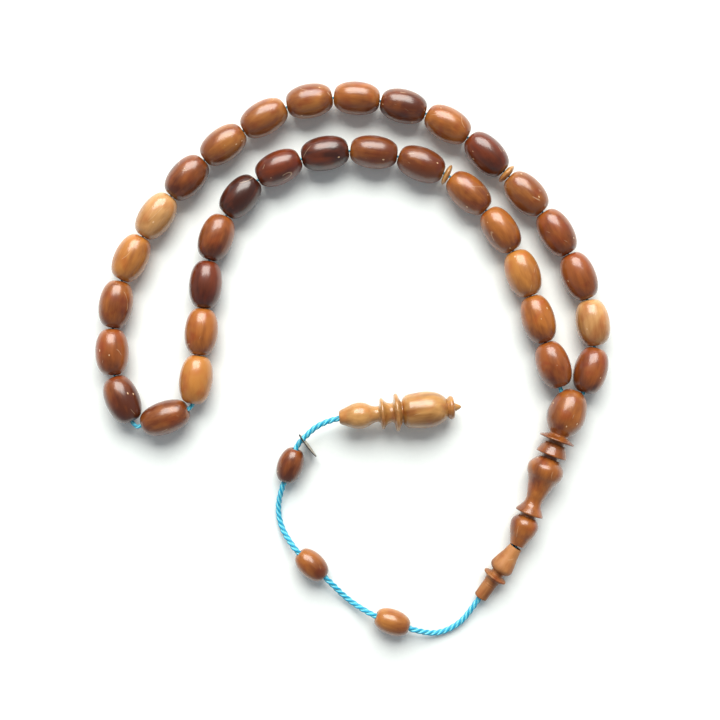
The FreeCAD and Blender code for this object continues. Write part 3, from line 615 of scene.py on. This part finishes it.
def laid_cord_tree():
    """Strands laid round a line, with the twist of an S."""
    tree, ask = new_tree("Laid cord", [
        ("Diameter", "Float", 0.0016), ("Twist length", "Float", 0.0049), ("Strands", "Int", 3),
        ("Step", "Float", 0.0002), ("Sides", "Int", 10), ("Material", "Material", None)])
    slack = add(tree, "GeometryNodeInputNamedAttribute", {"Name": "slack"}, data_type="FLOAT")
    thick = add(tree, "MULTIPLY", ask.outputs["Diameter"], slack.outputs[0])
    line = add(tree, "GeometryNodeMeshToCurve", {"Mesh": ask.outputs["Geometry"]})
    even = add(tree, "GeometryNodeResampleCurve",
               {"Curve": line, "Length": ask.outputs["Step"]}, mode="LENGTH")
    steady = add(tree, "GeometryNodeSetCurveNormal", {"Curve": even}, mode="MINIMUM_TWIST")
    copies = add(tree, "GeometryNodeDuplicateElements",
                 {"Geometry": steady, "Amount": ask.outputs["Strands"]}, domain="SPLINE")
    along = add(tree, "GeometryNodeSplineParameter").outputs["Length"]
    turns = add(tree, "DIVIDE", along, ask.outputs["Twist length"])
    part = add(tree, "DIVIDE", copies.outputs["Duplicate Index"], ask.outputs["Strands"])
    both = add(tree, "SUBTRACT", part, turns)
    angle = add(tree, "MULTIPLY", both, math.tau)
    wave_x = add(tree, "COSINE", angle)
    wave_y = add(tree, "SINE", angle)
    normal = add(tree, "GeometryNodeInputNormal").outputs[0]
    tangent = add(tree, "GeometryNodeInputTangent").outputs[0]
    across = add(tree, "ShaderNodeVectorMath", {0: tangent, 1: normal}, operation="CROSS_PRODUCT")
    side_x = add(tree, "ShaderNodeVectorMath", {0: normal, "Scale": wave_x.outputs[0]},
                 operation="SCALE")
    side_y = add(tree, "ShaderNodeVectorMath", {0: across, "Scale": wave_y.outputs[0]},
                 operation="SCALE")
    outward = add(tree, "ShaderNodeVectorMath", {0: side_x, 1: side_y}, operation="ADD")
    # Soft strands press into each other: each is nearly half as thick as the cord.
    offset = add(tree, "MULTIPLY", thick, STRAND_AWAY)
    strand = add(tree, "MULTIPLY", ask.outputs["Diameter"], STRAND_HALF)
    shift = add(tree, "ShaderNodeVectorMath", {0: outward, "Scale": offset.outputs[0]},
                operation="SCALE")
    kept = add(tree, "GeometryNodeCaptureAttribute")
    kept.capture_items.new("VECTOR", "Centre")
    kept.capture_items.new("FLOAT", "Along")
    kept.capture_items.new("FLOAT", "Number")
    tree.links.new(copies.outputs["Geometry"], kept.inputs["Geometry"])
    tree.links.new(add(tree, "GeometryNodeInputPosition").outputs[0], kept.inputs["Centre"])
    tree.links.new(along, kept.inputs["Along"])
    tree.links.new(copies.outputs["Duplicate Index"], kept.inputs["Number"])
    moved = add(tree, "GeometryNodeSetPosition",
                {"Geometry": kept.outputs["Geometry"], "Offset": shift})
    round_one = add(tree, "GeometryNodeCurvePrimitiveCircle",
                    {"Resolution": ask.outputs["Sides"], "Radius": strand}, mode="RADIUS")
    solid = add(tree, "GeometryNodeCurveToMesh",
                {"Curve": moved, "Profile Curve": round_one, "Scale": slack.outputs[0],
                 "Fill Caps": True})
    place = add(tree, "GeometryNodeInputPosition").outputs[0]
    far = add(tree, "ShaderNodeVectorMath", {0: place, 1: kept.outputs["Centre"]},
              operation="DISTANCE")
    half = add(tree, "MULTIPLY", thick, 0.5)
    crest = add(tree, "DIVIDE", far.outputs["Value"], half)
    crested = add(tree, "GeometryNodeStoreNamedAttribute",
                  {"Geometry": solid, "Name": "crest", "Value": crest.outputs[0]},
                  data_type="FLOAT", domain="POINT")
    along_mm = add(tree, "MULTIPLY", kept.outputs["Along"], 1 / MM)
    crest_mm = add(tree, "MULTIPLY", far.outputs["Value"], 1 / MM)
    apart = add(tree, "MULTIPLY", kept.outputs["Number"], 20.0)
    lay = add(tree, "ShaderNodeCombineXYZ", {0: along_mm, 1: crest_mm, 2: apart})
    laid = add(tree, "GeometryNodeStoreNamedAttribute",
               {"Geometry": crested, "Name": "lay", "Value": lay.outputs[0]},
               data_type="FLOAT_VECTOR", domain="POINT")
    close_tree(tree, ask, laid)
    return tree


def local_points(place, points):
    """Points given in millimetres in a piece's own frame, as places in the frame."""
    return [place @ (Vector(point) * MM) for point in points]


def loop_route():
    """The loop's route: side by side from the knot in the foot, up through the headpiece, out at
    a hole, round through the beads and back to the other hole."""
    sides = []
    for side, mouth in zip((1, -1), HEAD_MOUTHS):
        pivot = (FOOT_FRAME.translation + head_end) / 2
        level = HEAD_FRAME.to_3x3() @ Vector((0, side * STRAND_SIDE, STRAND_DROP / 2)) * MM
        sides.append(
            local_points(FOOT_FRAME, [(FOOT_KNOT - 1, side * STRAND_SIDE, 0)])
            + [pivot + level]
            + local_points(HEAD_FRAME, [(HOLE_MEETS, side * STRAND_SIDE, STRAND_DROP), mouth]))
    table = [Vector((x + SHIFT[0], y + SHIFT[1], LOOP_HEIGHT)) * MM for x, y in LOOP]
    return sides[0] + table + sides[1][::-1]


def tail_route():
    """The tail's route: straight out of the foot, over the table from bead to bead, and into
    the end ornament."""
    foot = local_points(FOOT_FRAME, [(TAIL_STARTS, 0, 0), (14.0, 0, 0), (TAIL_CLEAR, 0, 0)])
    table = [Vector((x + SHIFT[0], y + SHIFT[1], z)) * MM for x, y, z in TAIL]
    return foot + table + local_points(ORNAMENT_FRAME, [(TAIL_STOPS, 0, 0)])


def cord_mesh(line, diameter, step, sides, tight_share=1.0):
    """A laid cord along a line; it is drawn thinner than slack but for the slack places."""
    sizes = bpy.context.scene.bead_sizes
    slack = np.ones(len(line.vertices))
    if tight_share < 1.0:
        slack[:] = tight_share
        places = np.array([vertex.co for vertex in line.vertices])
        for middle, reach in SLACK_PLACES:
            away = np.linalg.norm(places[:, :2] / MM - middle, axis=1)
            slack = np.maximum(slack, 1.0 - np.clip((away - reach) / 1.5, 0.0, 1.0 - tight_share))
    store(line, "slack", slack)
    return grown(bpy.data.node_groups["Laid cord"], line, {
        "Diameter": diameter, "Twist length": sizes.twist_length, "Strands": sizes.strands,
        "Step": step, "Sides": sides, "Material": bpy.data.materials["rayon_cord_laid"]})


def knot_line(place, radius):
    """The line of a small round knot, wound seven times one way over itself."""
    turns, count = 7, 220
    line = bpy.data.meshes.new("knot")
    points = []
    for number in range(count):
        share = number / (count - 1)
        around = share * turns * math.tau
        lift = math.pi * (0.16 + 0.68 * share)
        points.append(place @ Vector((
            -radius * math.cos(lift), radius * math.sin(lift) * math.cos(around),
            radius * math.sin(lift) * math.sin(around))))
    line.from_pydata(points, [(at, at + 1) for at in range(count - 1)], [])
    return line


class BEADS_OT_cords(bpy.types.Operator):
    """Lay the two cords along their routes, with the knots that hold them"""

    bl_idname = "beads.cords"
    bl_label = "Cords and knots"

    def execute(self, context):
        sizes = context.scene.bead_sizes
        cord_material()
        laid_cord_tree()
        loop_line = route_line("loop_route", loop_route())
        loop = cord_mesh(loop_line, sizes.loop_diameter, 0.4 * MM, 8, TIGHT_CORD)
        finished("loop_cord_laid", loop, STRING, ["loop_cord"])
        tail_line = route_line("tail_route", tail_route())
        tail = cord_mesh(tail_line, sizes.tail_diameter, 0.18 * MM, 12)
        finished("tail_cord_laid", tail, STRING, ["tail_cord"])
        for node, place, at in (("joining_knot", FOOT_FRAME, FOOT_KNOT),
                                ("end_knot", ORNAMENT_FRAME, ORNAMENT_KNOT)):
            centre = place @ Matrix.Translation((at * MM, 0, 0))
            line = knot_line(centre, KNOT_RADIUS)
            knot = cord_mesh(line, KNOT_CORD, 0.3 * MM, 8)
            finished(node + "_wound", knot, STRING, [node])
        return {"FINISHED"}


# ------------------------------------------------------------------ beads and discs


def barrel_tree():
    """A barrel-shaped bead with its bore, grown from its sizes."""
    tree, ask = new_tree("Barrel bead", [
        ("Length", "Float", 0.0125), ("Diameter", "Float", 0.0094), ("Rim", "Float", 0.00125),
        ("Bore", "Float", 0.00095), ("Sink", "Float", 0.0003), ("Fullness", "Float", 0.62),
        ("Seed", "Float", 1.0), ("Shade", "Float", 0.0), ("Slant of tone and light", "Float", 0.0),
        ("Out of round", "Float", 0.012), ("Sides", "Int", 72), ("Material", "Material", None)])
    rows = 62
    outer = rows - 4
    around = add(tree, "ADD", ask.outputs["Sides"], 1.0)
    grid = add(tree, "GeometryNodeMeshGrid",
               {"Size X": 1.0, "Size Y": 1.0, "Vertices X": rows,
                "Vertices Y": around.outputs[0]})
    place = add(tree, "ShaderNodeSeparateXYZ", {0: add(tree, "GeometryNodeInputPosition")})
    row_share = add(tree, "ADD", place.outputs["X"], 0.5)
    row = add(tree, "MULTIPLY", row_share, float(rows - 1))
    turn_share = add(tree, "ADD", place.outputs["Y"], 0.5)
    angle = add(tree, "MULTIPLY", turn_share, math.tau)

    # The outside: from rim to rim over the crown.
    sweep = add(tree, "MULTIPLY", row, math.pi / outer)
    sweep_cap = add(tree, "MINIMUM", sweep, math.pi)
    cosine = add(tree, "COSINE", sweep_cap)
    sine = add(tree, "SINE", sweep_cap)
    sine_floor = add(tree, "MAXIMUM", sine, 0.0)
    swell = add(tree, "POWER", sine_floor, ask.outputs["Fullness"])
    half = add(tree, "MULTIPLY", ask.outputs["Length"], -0.5)
    along_outer = add(tree, "MULTIPLY", half, cosine)
    crown = add(tree, "MULTIPLY", ask.outputs["Diameter"], 0.5)
    rise = add(tree, "SUBTRACT", crown, ask.outputs["Rim"])
    radius_outer = add(tree, "MULTIPLY_ADD", rise, swell, ask.outputs["Rim"])

    # The bore: two rows inside its countersunk mouths, and a last row back on the first.
    in_bore = add(tree, "GREATER_THAN", row, outer + 0.5)
    far_mouth = add(tree, "LESS_THAN", row, outer + 1.5)
    closing = add(tree, "GREATER_THAN", row, outer + 2.5)
    mouth = add(tree, "ADD", half, ask.outputs["Sink"])
    side = add(tree, "MULTIPLY_ADD", far_mouth, -2.0, 1.0)
    along_bore = add(tree, "MULTIPLY", mouth, side)
    along_in = add(tree, "GeometryNodeSwitch",
                   {"Switch": closing, "False": along_bore.outputs[0], "True": half.outputs[0]},
                   input_type="FLOAT")
    radius_in = add(tree, "GeometryNodeSwitch",
                    {"Switch": closing, "False": ask.outputs["Bore"], "True": ask.outputs["Rim"]},
                    input_type="FLOAT")
    along = add(tree, "GeometryNodeSwitch",
                {"Switch": in_bore, "False": along_outer.outputs[0], "True": along_in.outputs[0]},
                input_type="FLOAT")
    radius_even = add(tree, "GeometryNodeSwitch",
                      {"Switch": in_bore, "False": radius_outer.outputs[0],
                       "True": radius_in.outputs[0]}, input_type="FLOAT")

    # Hand turning leaves each bead a hair out of round, the same all along.
    lobe_at = add(tree, "MULTIPLY", ask.outputs["Seed"], 2.4)
    lobe_angle = add(tree, "MULTIPLY_ADD", angle, 2.0, lobe_at.outputs[0])
    lobe = add(tree, "COSINE", lobe_angle)
    lobe_low = add(tree, "SUBTRACT", lobe, 1.0)
    lobe_size = add(tree, "MULTIPLY", lobe_low, ask.outputs["Out of round"])
    squeeze = add(tree, "MULTIPLY_ADD", lobe_size, swell, 1.0)
    radius = add(tree, "MULTIPLY", radius_even.outputs[0], squeeze)
    turn_y = add(tree, "COSINE", angle)
    turn_z = add(tree, "SINE", angle)
    at_y = add(tree, "MULTIPLY", radius, turn_y)
    at_z = add(tree, "MULTIPLY", radius, turn_z)
    at = add(tree, "ShaderNodeCombineXYZ", {0: along.outputs[0], 1: at_y, 2: at_z})
    shaped = add(tree, "GeometryNodeSetPosition", {"Geometry": grid, "Position": at})
    joined = add(tree, "GeometryNodeMergeByDistance", {"Geometry": shaped, "Distance": 0.002 * MM})

    # What the material reads: the place on the bead in millimetres, and the bead's shade, whose
    # slant is partly its own tone and partly painted light that makes the end facing the window
    # lighter.
    spot = add(tree, "GeometryNodeInputPosition").outputs[0]
    in_mm = add(tree, "ShaderNodeVectorMath", {0: spot, "Scale": 1 / MM}, operation="SCALE")
    seed_far = add(tree, "MULTIPLY", ask.outputs["Seed"], 37.0)
    seed_at = add(tree, "ShaderNodeCombineXYZ", {0: seed_far, 1: 11.0, 2: seed_far})
    grain = add(tree, "ShaderNodeVectorMath", {0: in_mm, 1: seed_at}, operation="ADD")
    grained = add(tree, "GeometryNodeStoreNamedAttribute",
                  {"Geometry": joined, "Name": "grain", "Value": grain.outputs[0]},
                  data_type="FLOAT_VECTOR", domain="POINT")
    spot_x = add(tree, "ShaderNodeSeparateXYZ", {0: spot}).outputs["X"]
    end_share = add(tree, "DIVIDE", spot_x, ask.outputs["Length"])
    end_twice = add(tree, "MULTIPLY", end_share, 2.0)
    tone = add(tree, "MULTIPLY_ADD", end_twice, ask.outputs["Slant of tone and light"], ask.outputs["Shade"])
    toned = add(tree, "GeometryNodeStoreNamedAttribute",
                {"Geometry": grained, "Name": "tone", "Value": tone.outputs[0]},
                data_type="FLOAT", domain="POINT")
    close_tree(tree, ask, toned)
    return tree


def bead_size(name, middle, ahead):
    """A bead's length and largest diameter, from its CAD node."""
    points = node_points(name) - np.array(middle)
    along = points @ np.array(ahead)
    away = np.linalg.norm(points - np.outer(along, np.array(ahead)), axis=1)
    return along.max() - along.min(), 2 * away.max(), (along.max() + along.min()) / 2


def bead_piece(name, number, tone, shade, slant, rim, bore, fullness):
    """One bead or disc, grown at its own length and diameter and put on its bore's line."""
    middle, ahead = spin_of(name)
    length, diameter, off = bead_size(name, middle, ahead)
    length += bpy.context.scene.bead_sizes.snug if length > 3 * MM else 0.0
    mesh = grown(bpy.data.node_groups["Barrel bead"], bpy.data.meshes.new(name), {
        "Length": length, "Diameter": diameter, "Rim": rim, "Bore": bore, "Fullness": fullness,
        "Sink": 0.3 * MM if length > 3 * MM else 0.05 * MM,
        "Seed": float(number), "Shade": shade, "Slant of tone and light": slant,
        "Material": bpy.data.materials["nut_shell_" + tone]})
    mesh.transform(lying_frame(middle + ahead * off, ahead))
    return finished(name + "_turned", mesh, name, [name])


class BEADS_OT_beads(bpy.types.Operator):
    """Grow the beads of the loop, the two thin discs and the beads of the tail"""

    bl_idname = "beads.beads"
    bl_label = "Beads and discs"

    def execute(self, context):
        sizes = context.scene.bead_sizes
        for tone in NUT_TONES:
            nut_material(tone)
        barrel_tree()
        for number, (tone, shade, slant) in enumerate(BEAD_TONES, 1):
            bead_piece("bead_%02d" % number, number, tone, shade, slant, sizes.rim_radius,
                       sizes.bore_radius, sizes.fullness)
        for number in (1, 2):
            bead_piece("lens_disc_%d" % number, 50 + number, "golden", 0.15, 0.0,
                       sizes.rim_radius, sizes.bore_radius, 1.25)
        for number, (tone, shade, slant) in enumerate(TAIL_BEAD_TONES, 1):
            bead_piece("tail_bead_%d" % number, 60 + number, tone, shade, slant,
                       sizes.small_rim_radius, sizes.small_bore_radius, sizes.small_fullness)
        return {"FINISHED"}


# ------------------------------------------------------------------ turned pieces


def arc_points(p, q, slope, step):
    """Points from p towards q on the arc that leaves p at a slope, and the slope at q."""
    chord = math.atan2(q[1] - p[1], q[0] - p[0])
    turn = 2 * (chord - slope)
    reach = math.dist(p, q)
    radius = reach / 2 / math.sin(turn / 2)
    centre = (p[0] - math.sin(slope) * radius, p[1] + math.cos(slope) * radius)
    count = max(2, round(abs(turn * radius) / step))
    points = []
    for number in range(count):
        at = slope + turn * number / count
        points.append((centre[0] + math.sin(at) * radius, centre[1] - math.cos(at) * radius))
    return points, slope + turn


def outline(stations, step=0.11):
    """A turned outline as close points, its corners eased as sanding leaves them."""
    points = []
    slope = 0.0
    for (x, r, edge), (x_on, r_on, _) in zip(stations, stations[1:]):
        p, q = (x, r), (x_on, r_on)
        if edge is None:
            count = max(1, round(math.dist(p, q) / step))
            points += [(x + (x_on - x) * at / count, r + (r_on - r) * at / count)
                       for at in range(count)]
            slope = math.atan2(r_on - r, x_on - x)
            continue
        if edge != "on":
            slope = math.radians(edge)
        arc, slope = arc_points(p, q, slope, step)
        points += arc
    points.append(stations[-1][:2])
    line = np.array(points, float)
    eased = line.copy()
    eased[1:-1] = line[:-2] * 0.25 + line[1:-1] * 0.5 + line[2:] * 0.25
    return eased


def tool_marks(line, seed, depth):
    """The fine rings that a turning tool leaves, about 0.6 mm apart, as changes of radius."""
    rings = np.sin(line[:, 0] * 10.3 + seed) * 0.5 + np.sin(line[:, 0] * 23.1 + seed * 3) * 0.5
    line = line.copy()
    inside = slice(2, -2)
    line[inside, 1] += ((rings - 1) * depth)[inside]
    return line


def lathe(name, line, place, seed, shade, slant, tone, sides=144):
    """A solid of revolution from an outline that starts and ends on the axis or on itself."""
    count = len(line)
    angles = np.arange(sides) / sides * math.tau
    mesh = bmesh.new()
    rings = []
    for x, r in line:
        if r < 1e-6:
            rings.append([mesh.verts.new((x, 0, 0))])
            continue
        rings.append([mesh.verts.new((x, r * math.cos(a), r * math.sin(a))) for a in angles])
    pairs = [(at, at + 1) for at in range(count - 1)]
    if len(rings[0]) > 1:
        pairs.append((count - 1, 0))
    for near, far in pairs:
        a, b = rings[near], rings[far]
        for at in range(sides):
            on = (at + 1) % sides
            corners = [a[at % len(a)], a[on % len(a)], b[on % len(b)], b[at % len(b)]]
            corners = [c for n, c in enumerate(corners) if c not in corners[:n]]
            if len(corners) > 2:
                mesh.faces.new(corners)
    bmesh.ops.recalc_face_normals(mesh, faces=mesh.faces)
    made = bpy.data.meshes.new(name)
    mesh.to_mesh(made)
    mesh.free()
    made.materials.append(bpy.data.materials["nut_shell_" + tone])
    places = np.array([vertex.co for vertex in made.vertices])
    middle = (line[:, 0].min() + line[:, 0].max()) / 2
    reach = (line[:, 0].max() - line[:, 0].min()) / 2
    store(made, "grain", places + (seed * 37.0, 11.0, seed * 37.0))
    # The slant along the piece is partly its own tone and partly painted light: one end is drawn
    # lighter, as the window lights it.
    store(made, "tone", shade + slant * (places[:, 0] - middle) / reach)
    made.transform(place @ Matrix.Scale(MM, 4))
    return made


def turned(name, stations, bore, marks, place, seed, shade, slant, tone):
    """A turned piece from its stations, the points of its bore and its tool marks' start and
    depth."""
    before, after = bore
    line = tool_marks(outline(stations), *marks)
    closed = np.vstack([part for part in (before, line, after) if len(part)])
    return lathe(name, closed, place, seed, shade, slant, tone)


def bored(mesh, cutters):
    """A mesh with round holes cut in it, each from one point to another."""
    holder = bpy.data.objects.new("blank", mesh)
    bpy.context.scene.collection.objects.link(holder)
    drills = []
    for start, end, radius in cutters:
        shape = bmesh.new()
        length = (end - start).length
        bmesh.ops.create_cone(shape, cap_ends=True, segments=40, radius1=radius, radius2=radius,
                              depth=length)
        turn = (end - start).to_track_quat("Z", "Y").to_matrix().to_4x4()
        shape.transform(Matrix.Translation((start + end) / 2) @ turn)
        tool_mesh = bpy.data.meshes.new("drill")
        shape.to_mesh(tool_mesh)
        shape.free()
        tool = bpy.data.objects.new("drill", tool_mesh)
        bpy.context.scene.collection.objects.link(tool)
        drills.append(tool)
        cut = holder.modifiers.new("Hole", "BOOLEAN")
        cut.operation = "DIFFERENCE"
        cut.solver = "EXACT"
        cut.object = tool
    made = plain_mesh(holder)
    bpy.data.objects.remove(holder)
    for tool in drills:
        bpy.data.objects.remove(tool)
    return made


class BEADS_OT_headpiece(bpy.types.Operator):
    """Turn the long headpiece, drill its two cord holes, and turn the foot below it"""

    bl_idname = "beads.headpiece"
    bl_label = "Headpiece and foot"

    def execute(self, context):
        blank = turned("headpiece", HEADPIECE, HEAD_BORE, (0.4, 0.006), HEAD_FRAME, 71, 0.02,
                       0.1, "amber")
        cutters = []
        for side, mouth in zip((1, -1), HEAD_MOUTHS):
            meet = Vector((HOLE_MEETS, side * STRAND_SIDE, STRAND_DROP))
            slant = (Vector(mouth) - meet).normalized()
            ends = local_points(HEAD_FRAME, [Vector(mouth) + slant * 3, meet])
            cutters.append((*ends, HOLE_RADIUS * MM))
        finished("headpiece_turned", bored(blank, cutters), STRING, ["headpiece"])
        foot = turned("foot", FOOT, FOOT_BORE, (1.7, 0.008), FOOT_FRAME, 72, 0.1, -0.2, "satin")
        finished("foot_turned", foot, "foot", ["headpiece_foot"])
        return {"FINISHED"}


class BEADS_OT_ornament(bpy.types.Operator):
    """Turn the three parts of the ornament at the tail's end"""

    bl_idname = "beads.ornament"
    bl_label = "End ornament"

    def execute(self, context):
        for part, stations, bore, marks, seed, shade, slant, slot in (
                ("socket", SOCKET, SOCKET_BORE, (2.9, 0.006), 73, 0.2, -0.1, "nut_honey"),
                ("barrel", BARREL, BARREL_BORE, (4.1, 0.005), 74, 0.0, 0.1, "nut_honey"),
                ("finial", FINIAL, FINIAL_PEG, (5.3, 0.004), 75, 0.1, 0.0, "nut_amber")):
            mesh = turned(part, stations, bore, marks, ORNAMENT_FRAME, seed, shade, slant,
                          "golden")
            finished("ornament_%s_turned" % part, mesh, "ornament", ["ornament_" + part])
        return {"FINISHED"}


# ------------------------------------------------------------------ sequin


class BEADS_OT_sequin(bpy.types.Operator):
    """Stamp the sequin that swings on the tail cord"""

    bl_idname = "beads.sequin"
    bl_label = "Sequin"

    def execute(self, context):
        points = node_points("sequin")
        middle = (points.max(0) + points.min(0)) / 2
        spread, turns = np.linalg.eigh(np.cov((points - points.mean(0)).T))
        facing = Vector(turns[:, 0])
        hole = Vector(JOINTS["sequin_swing"]["pos_m"])
        hole -= facing * (hole - Vector(middle)).dot(facing)
        away = (Vector(middle) - hole).normalized()
        reach = ((points - middle) @ np.array(away)).max()
        side = facing.cross(away)
        hole_at = (hole - Vector(middle)).dot(away)
        sequin_material()
        mesh = bmesh.new()
        sides, rings, hole_radius, half = 96, 7, 1.0 * MM, 0.15 * MM
        angles = [number / sides * math.tau for number in range(sides)]
        levels = []
        for face in (1, -1):
            for number in range(rings + 1):
                share = number / rings if face == 1 else 1 - number / rings
                ring = []
                for a in angles:
                    start = Vector((hole_at + hole_radius * math.cos(a), hole_radius * math.sin(a)))
                    end = Vector((reach * math.cos(a), reach * math.sin(a)))
                    flat = start.lerp(end, share)
                    dish = 0.05 * MM * math.cos(share * math.pi * 3)
                    lift = face * half * (0.55 if share in (0, 1) else 0.9) + dish
                    ring.append(mesh.verts.new(
                        Vector(middle) + away * flat.x + side * flat.y + facing * lift))
                levels.append(ring)
        for near in range(len(levels)):
            a, b = levels[near], levels[(near + 1) % len(levels)]
            for at in range(sides):
                on = (at + 1) % sides
                mesh.faces.new((a[at], a[on], b[on], b[at]))
        bmesh.ops.recalc_face_normals(mesh, faces=mesh.faces)
        made = bpy.data.meshes.new("sequin")
        mesh.to_mesh(made)
        mesh.free()
        made.materials.append(bpy.data.materials["tarnished_sequin"])
        places = (np.array([vertex.co for vertex in made.vertices]) - middle) / MM
        store(made, "grain", places)
        store(made, "tone", np.linalg.norm(places, axis=1) * MM / reach)
        finished("sequin_stamped", made, "sequin", ["sequin"])
        return {"FINISHED"}


class BEADS_OT_tie(bpy.types.Operator):
    """List the pieces that the tail cord carries; nothing is done with the list"""

    bl_idname = "beads.tie"
    bl_label = "Tail cord facts"

    def execute(self, context):
        carried = ["tail_bead_%d_turned" % number for number in (1, 2, 3)]
        carried += ["sequin_stamped", "ornament_socket_turned", "ornament_barrel_turned",
                    "ornament_finial_turned"]
        return {"FINISHED"}


# ------------------------------------------------------------------ stage


class BEADS_OT_stage(bpy.types.Operator):
    """Set the camera, the table, the window and the light of the room"""

    bl_idname = "beads.stage"
    bl_label = "Table, lights and camera"

    def execute(self, context):
        scene = context.scene
        stage = scene.bead_stage
        camera = bpy.data.cameras.new("camera")
        camera.lens = stage.camera_lens
        camera.sensor_width = 36.0
        camera.clip_start, camera.clip_end = 0.01, 20.0
        eye = bpy.data.objects.new("camera", camera)
        eye.location = (2.0 * MM, -0.2 * MM, stage.camera_height)
        scene.collection.objects.link(eye)
        scene.camera = eye

        half = 1.6
        board = bpy.data.meshes.new("table_top")
        board.from_pydata([(-half, -half, 0), (half, -half, 0), (half, half, 0), (-half, half, 0)],
                          [], [(0, 1, 2, 3)])
        board.materials.append(glowing_table_material())
        table = bpy.data.objects.new("table_top", board)
        scene.collection.objects.link(table)

        self.light(scene, "window", (0.0, 0.80, 0.80), (1.05, 0.80), stage.window_power,
                   "#FFFCF6")
        world = bpy.data.worlds.new("room")
        scene.world = world
        world.use_nodes = True
        tree = world.node_tree
        sky = add(tree, "ShaderNodeTexCoord").outputs["Generated"]
        height = add(tree, "ShaderNodeSeparateXYZ", {0: sky}).outputs["Z"]
        strength = add(tree, "ShaderNodeMapRange",
                       {"Value": height, "From Min": 0.0, "From Max": 1.0,
                        "To Min": 1.15 * stage.room_strength, "To Max": 0.40 * stage.room_strength})
        back = tree.nodes["Background"]
        back.inputs["Color"].default_value = linear("#F3F5FA")
        tree.links.new(strength.outputs[0], back.inputs["Strength"])
        scene.view_settings.view_transform = "Standard"
        scene.view_settings.look = "None"
        return {"FINISHED"}

    def light(self, scene, name, place, size, power, colour):
        """A rectangular light that faces the middle of the table."""
        lamp = bpy.data.lights.new(name, "AREA")
        lamp.shape = "RECTANGLE"
        lamp.size, lamp.size_y = size
        lamp.energy = power
        lamp.color = linear(colour)[:3]
        holder = bpy.data.objects.new(name, lamp)
        holder.location = place
        holder.rotation_mode = "QUATERNION"
        holder.rotation_quaternion = (-Vector(place)).to_track_quat("-Z", "Y")
        scene.collection.objects.link(holder)


# ------------------------------------------------------------------ panel and registration

STEPS = (BEADS_OT_stage, BEADS_OT_cords, BEADS_OT_beads, BEADS_OT_headpiece, BEADS_OT_ornament,
         BEADS_OT_sequin, BEADS_OT_tie)


class BEADS_PT_panel(bpy.types.Panel):
    """Buttons that build the beads, in the order they are strung"""

    bl_label = "Prayer beads"
    bl_idname = "BEADS_PT_panel"
    bl_space_type = "VIEW_3D"
    bl_region_type = "UI"
    bl_category = "Beads"

    def draw(self, context):
        for group in (context.scene.bead_sizes, context.scene.bead_colours,
                      context.scene.bead_stage):
            box = self.layout.box()
            for name in group.__annotations__:
                box.prop(group, name)
        for step in STEPS:
            self.layout.operator(step.bl_idname)


CLASSES = (BeadSizes, BeadColours, BeadStage, *STEPS, BEADS_PT_panel)


def register():
    for item in CLASSES:
        bpy.utils.register_class(item)
    bpy.types.Scene.bead_sizes = bpy.props.PointerProperty(type=BeadSizes)
    bpy.types.Scene.bead_colours = bpy.props.PointerProperty(type=BeadColours)
    bpy.types.Scene.bead_stage = bpy.props.PointerProperty(type=BeadStage)


def unregister():
    del bpy.types.Scene.bead_stage
    del bpy.types.Scene.bead_colours
    del bpy.types.Scene.bead_sizes
    for item in reversed(CLASSES):
        bpy.utils.unregister_class(item)


def main():
    """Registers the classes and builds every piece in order."""
    register()
    for step in STEPS:
        group, name = step.bl_idname.split(".")
        getattr(getattr(bpy.ops, group), name)()


if __name__ == "__main__":
    main()
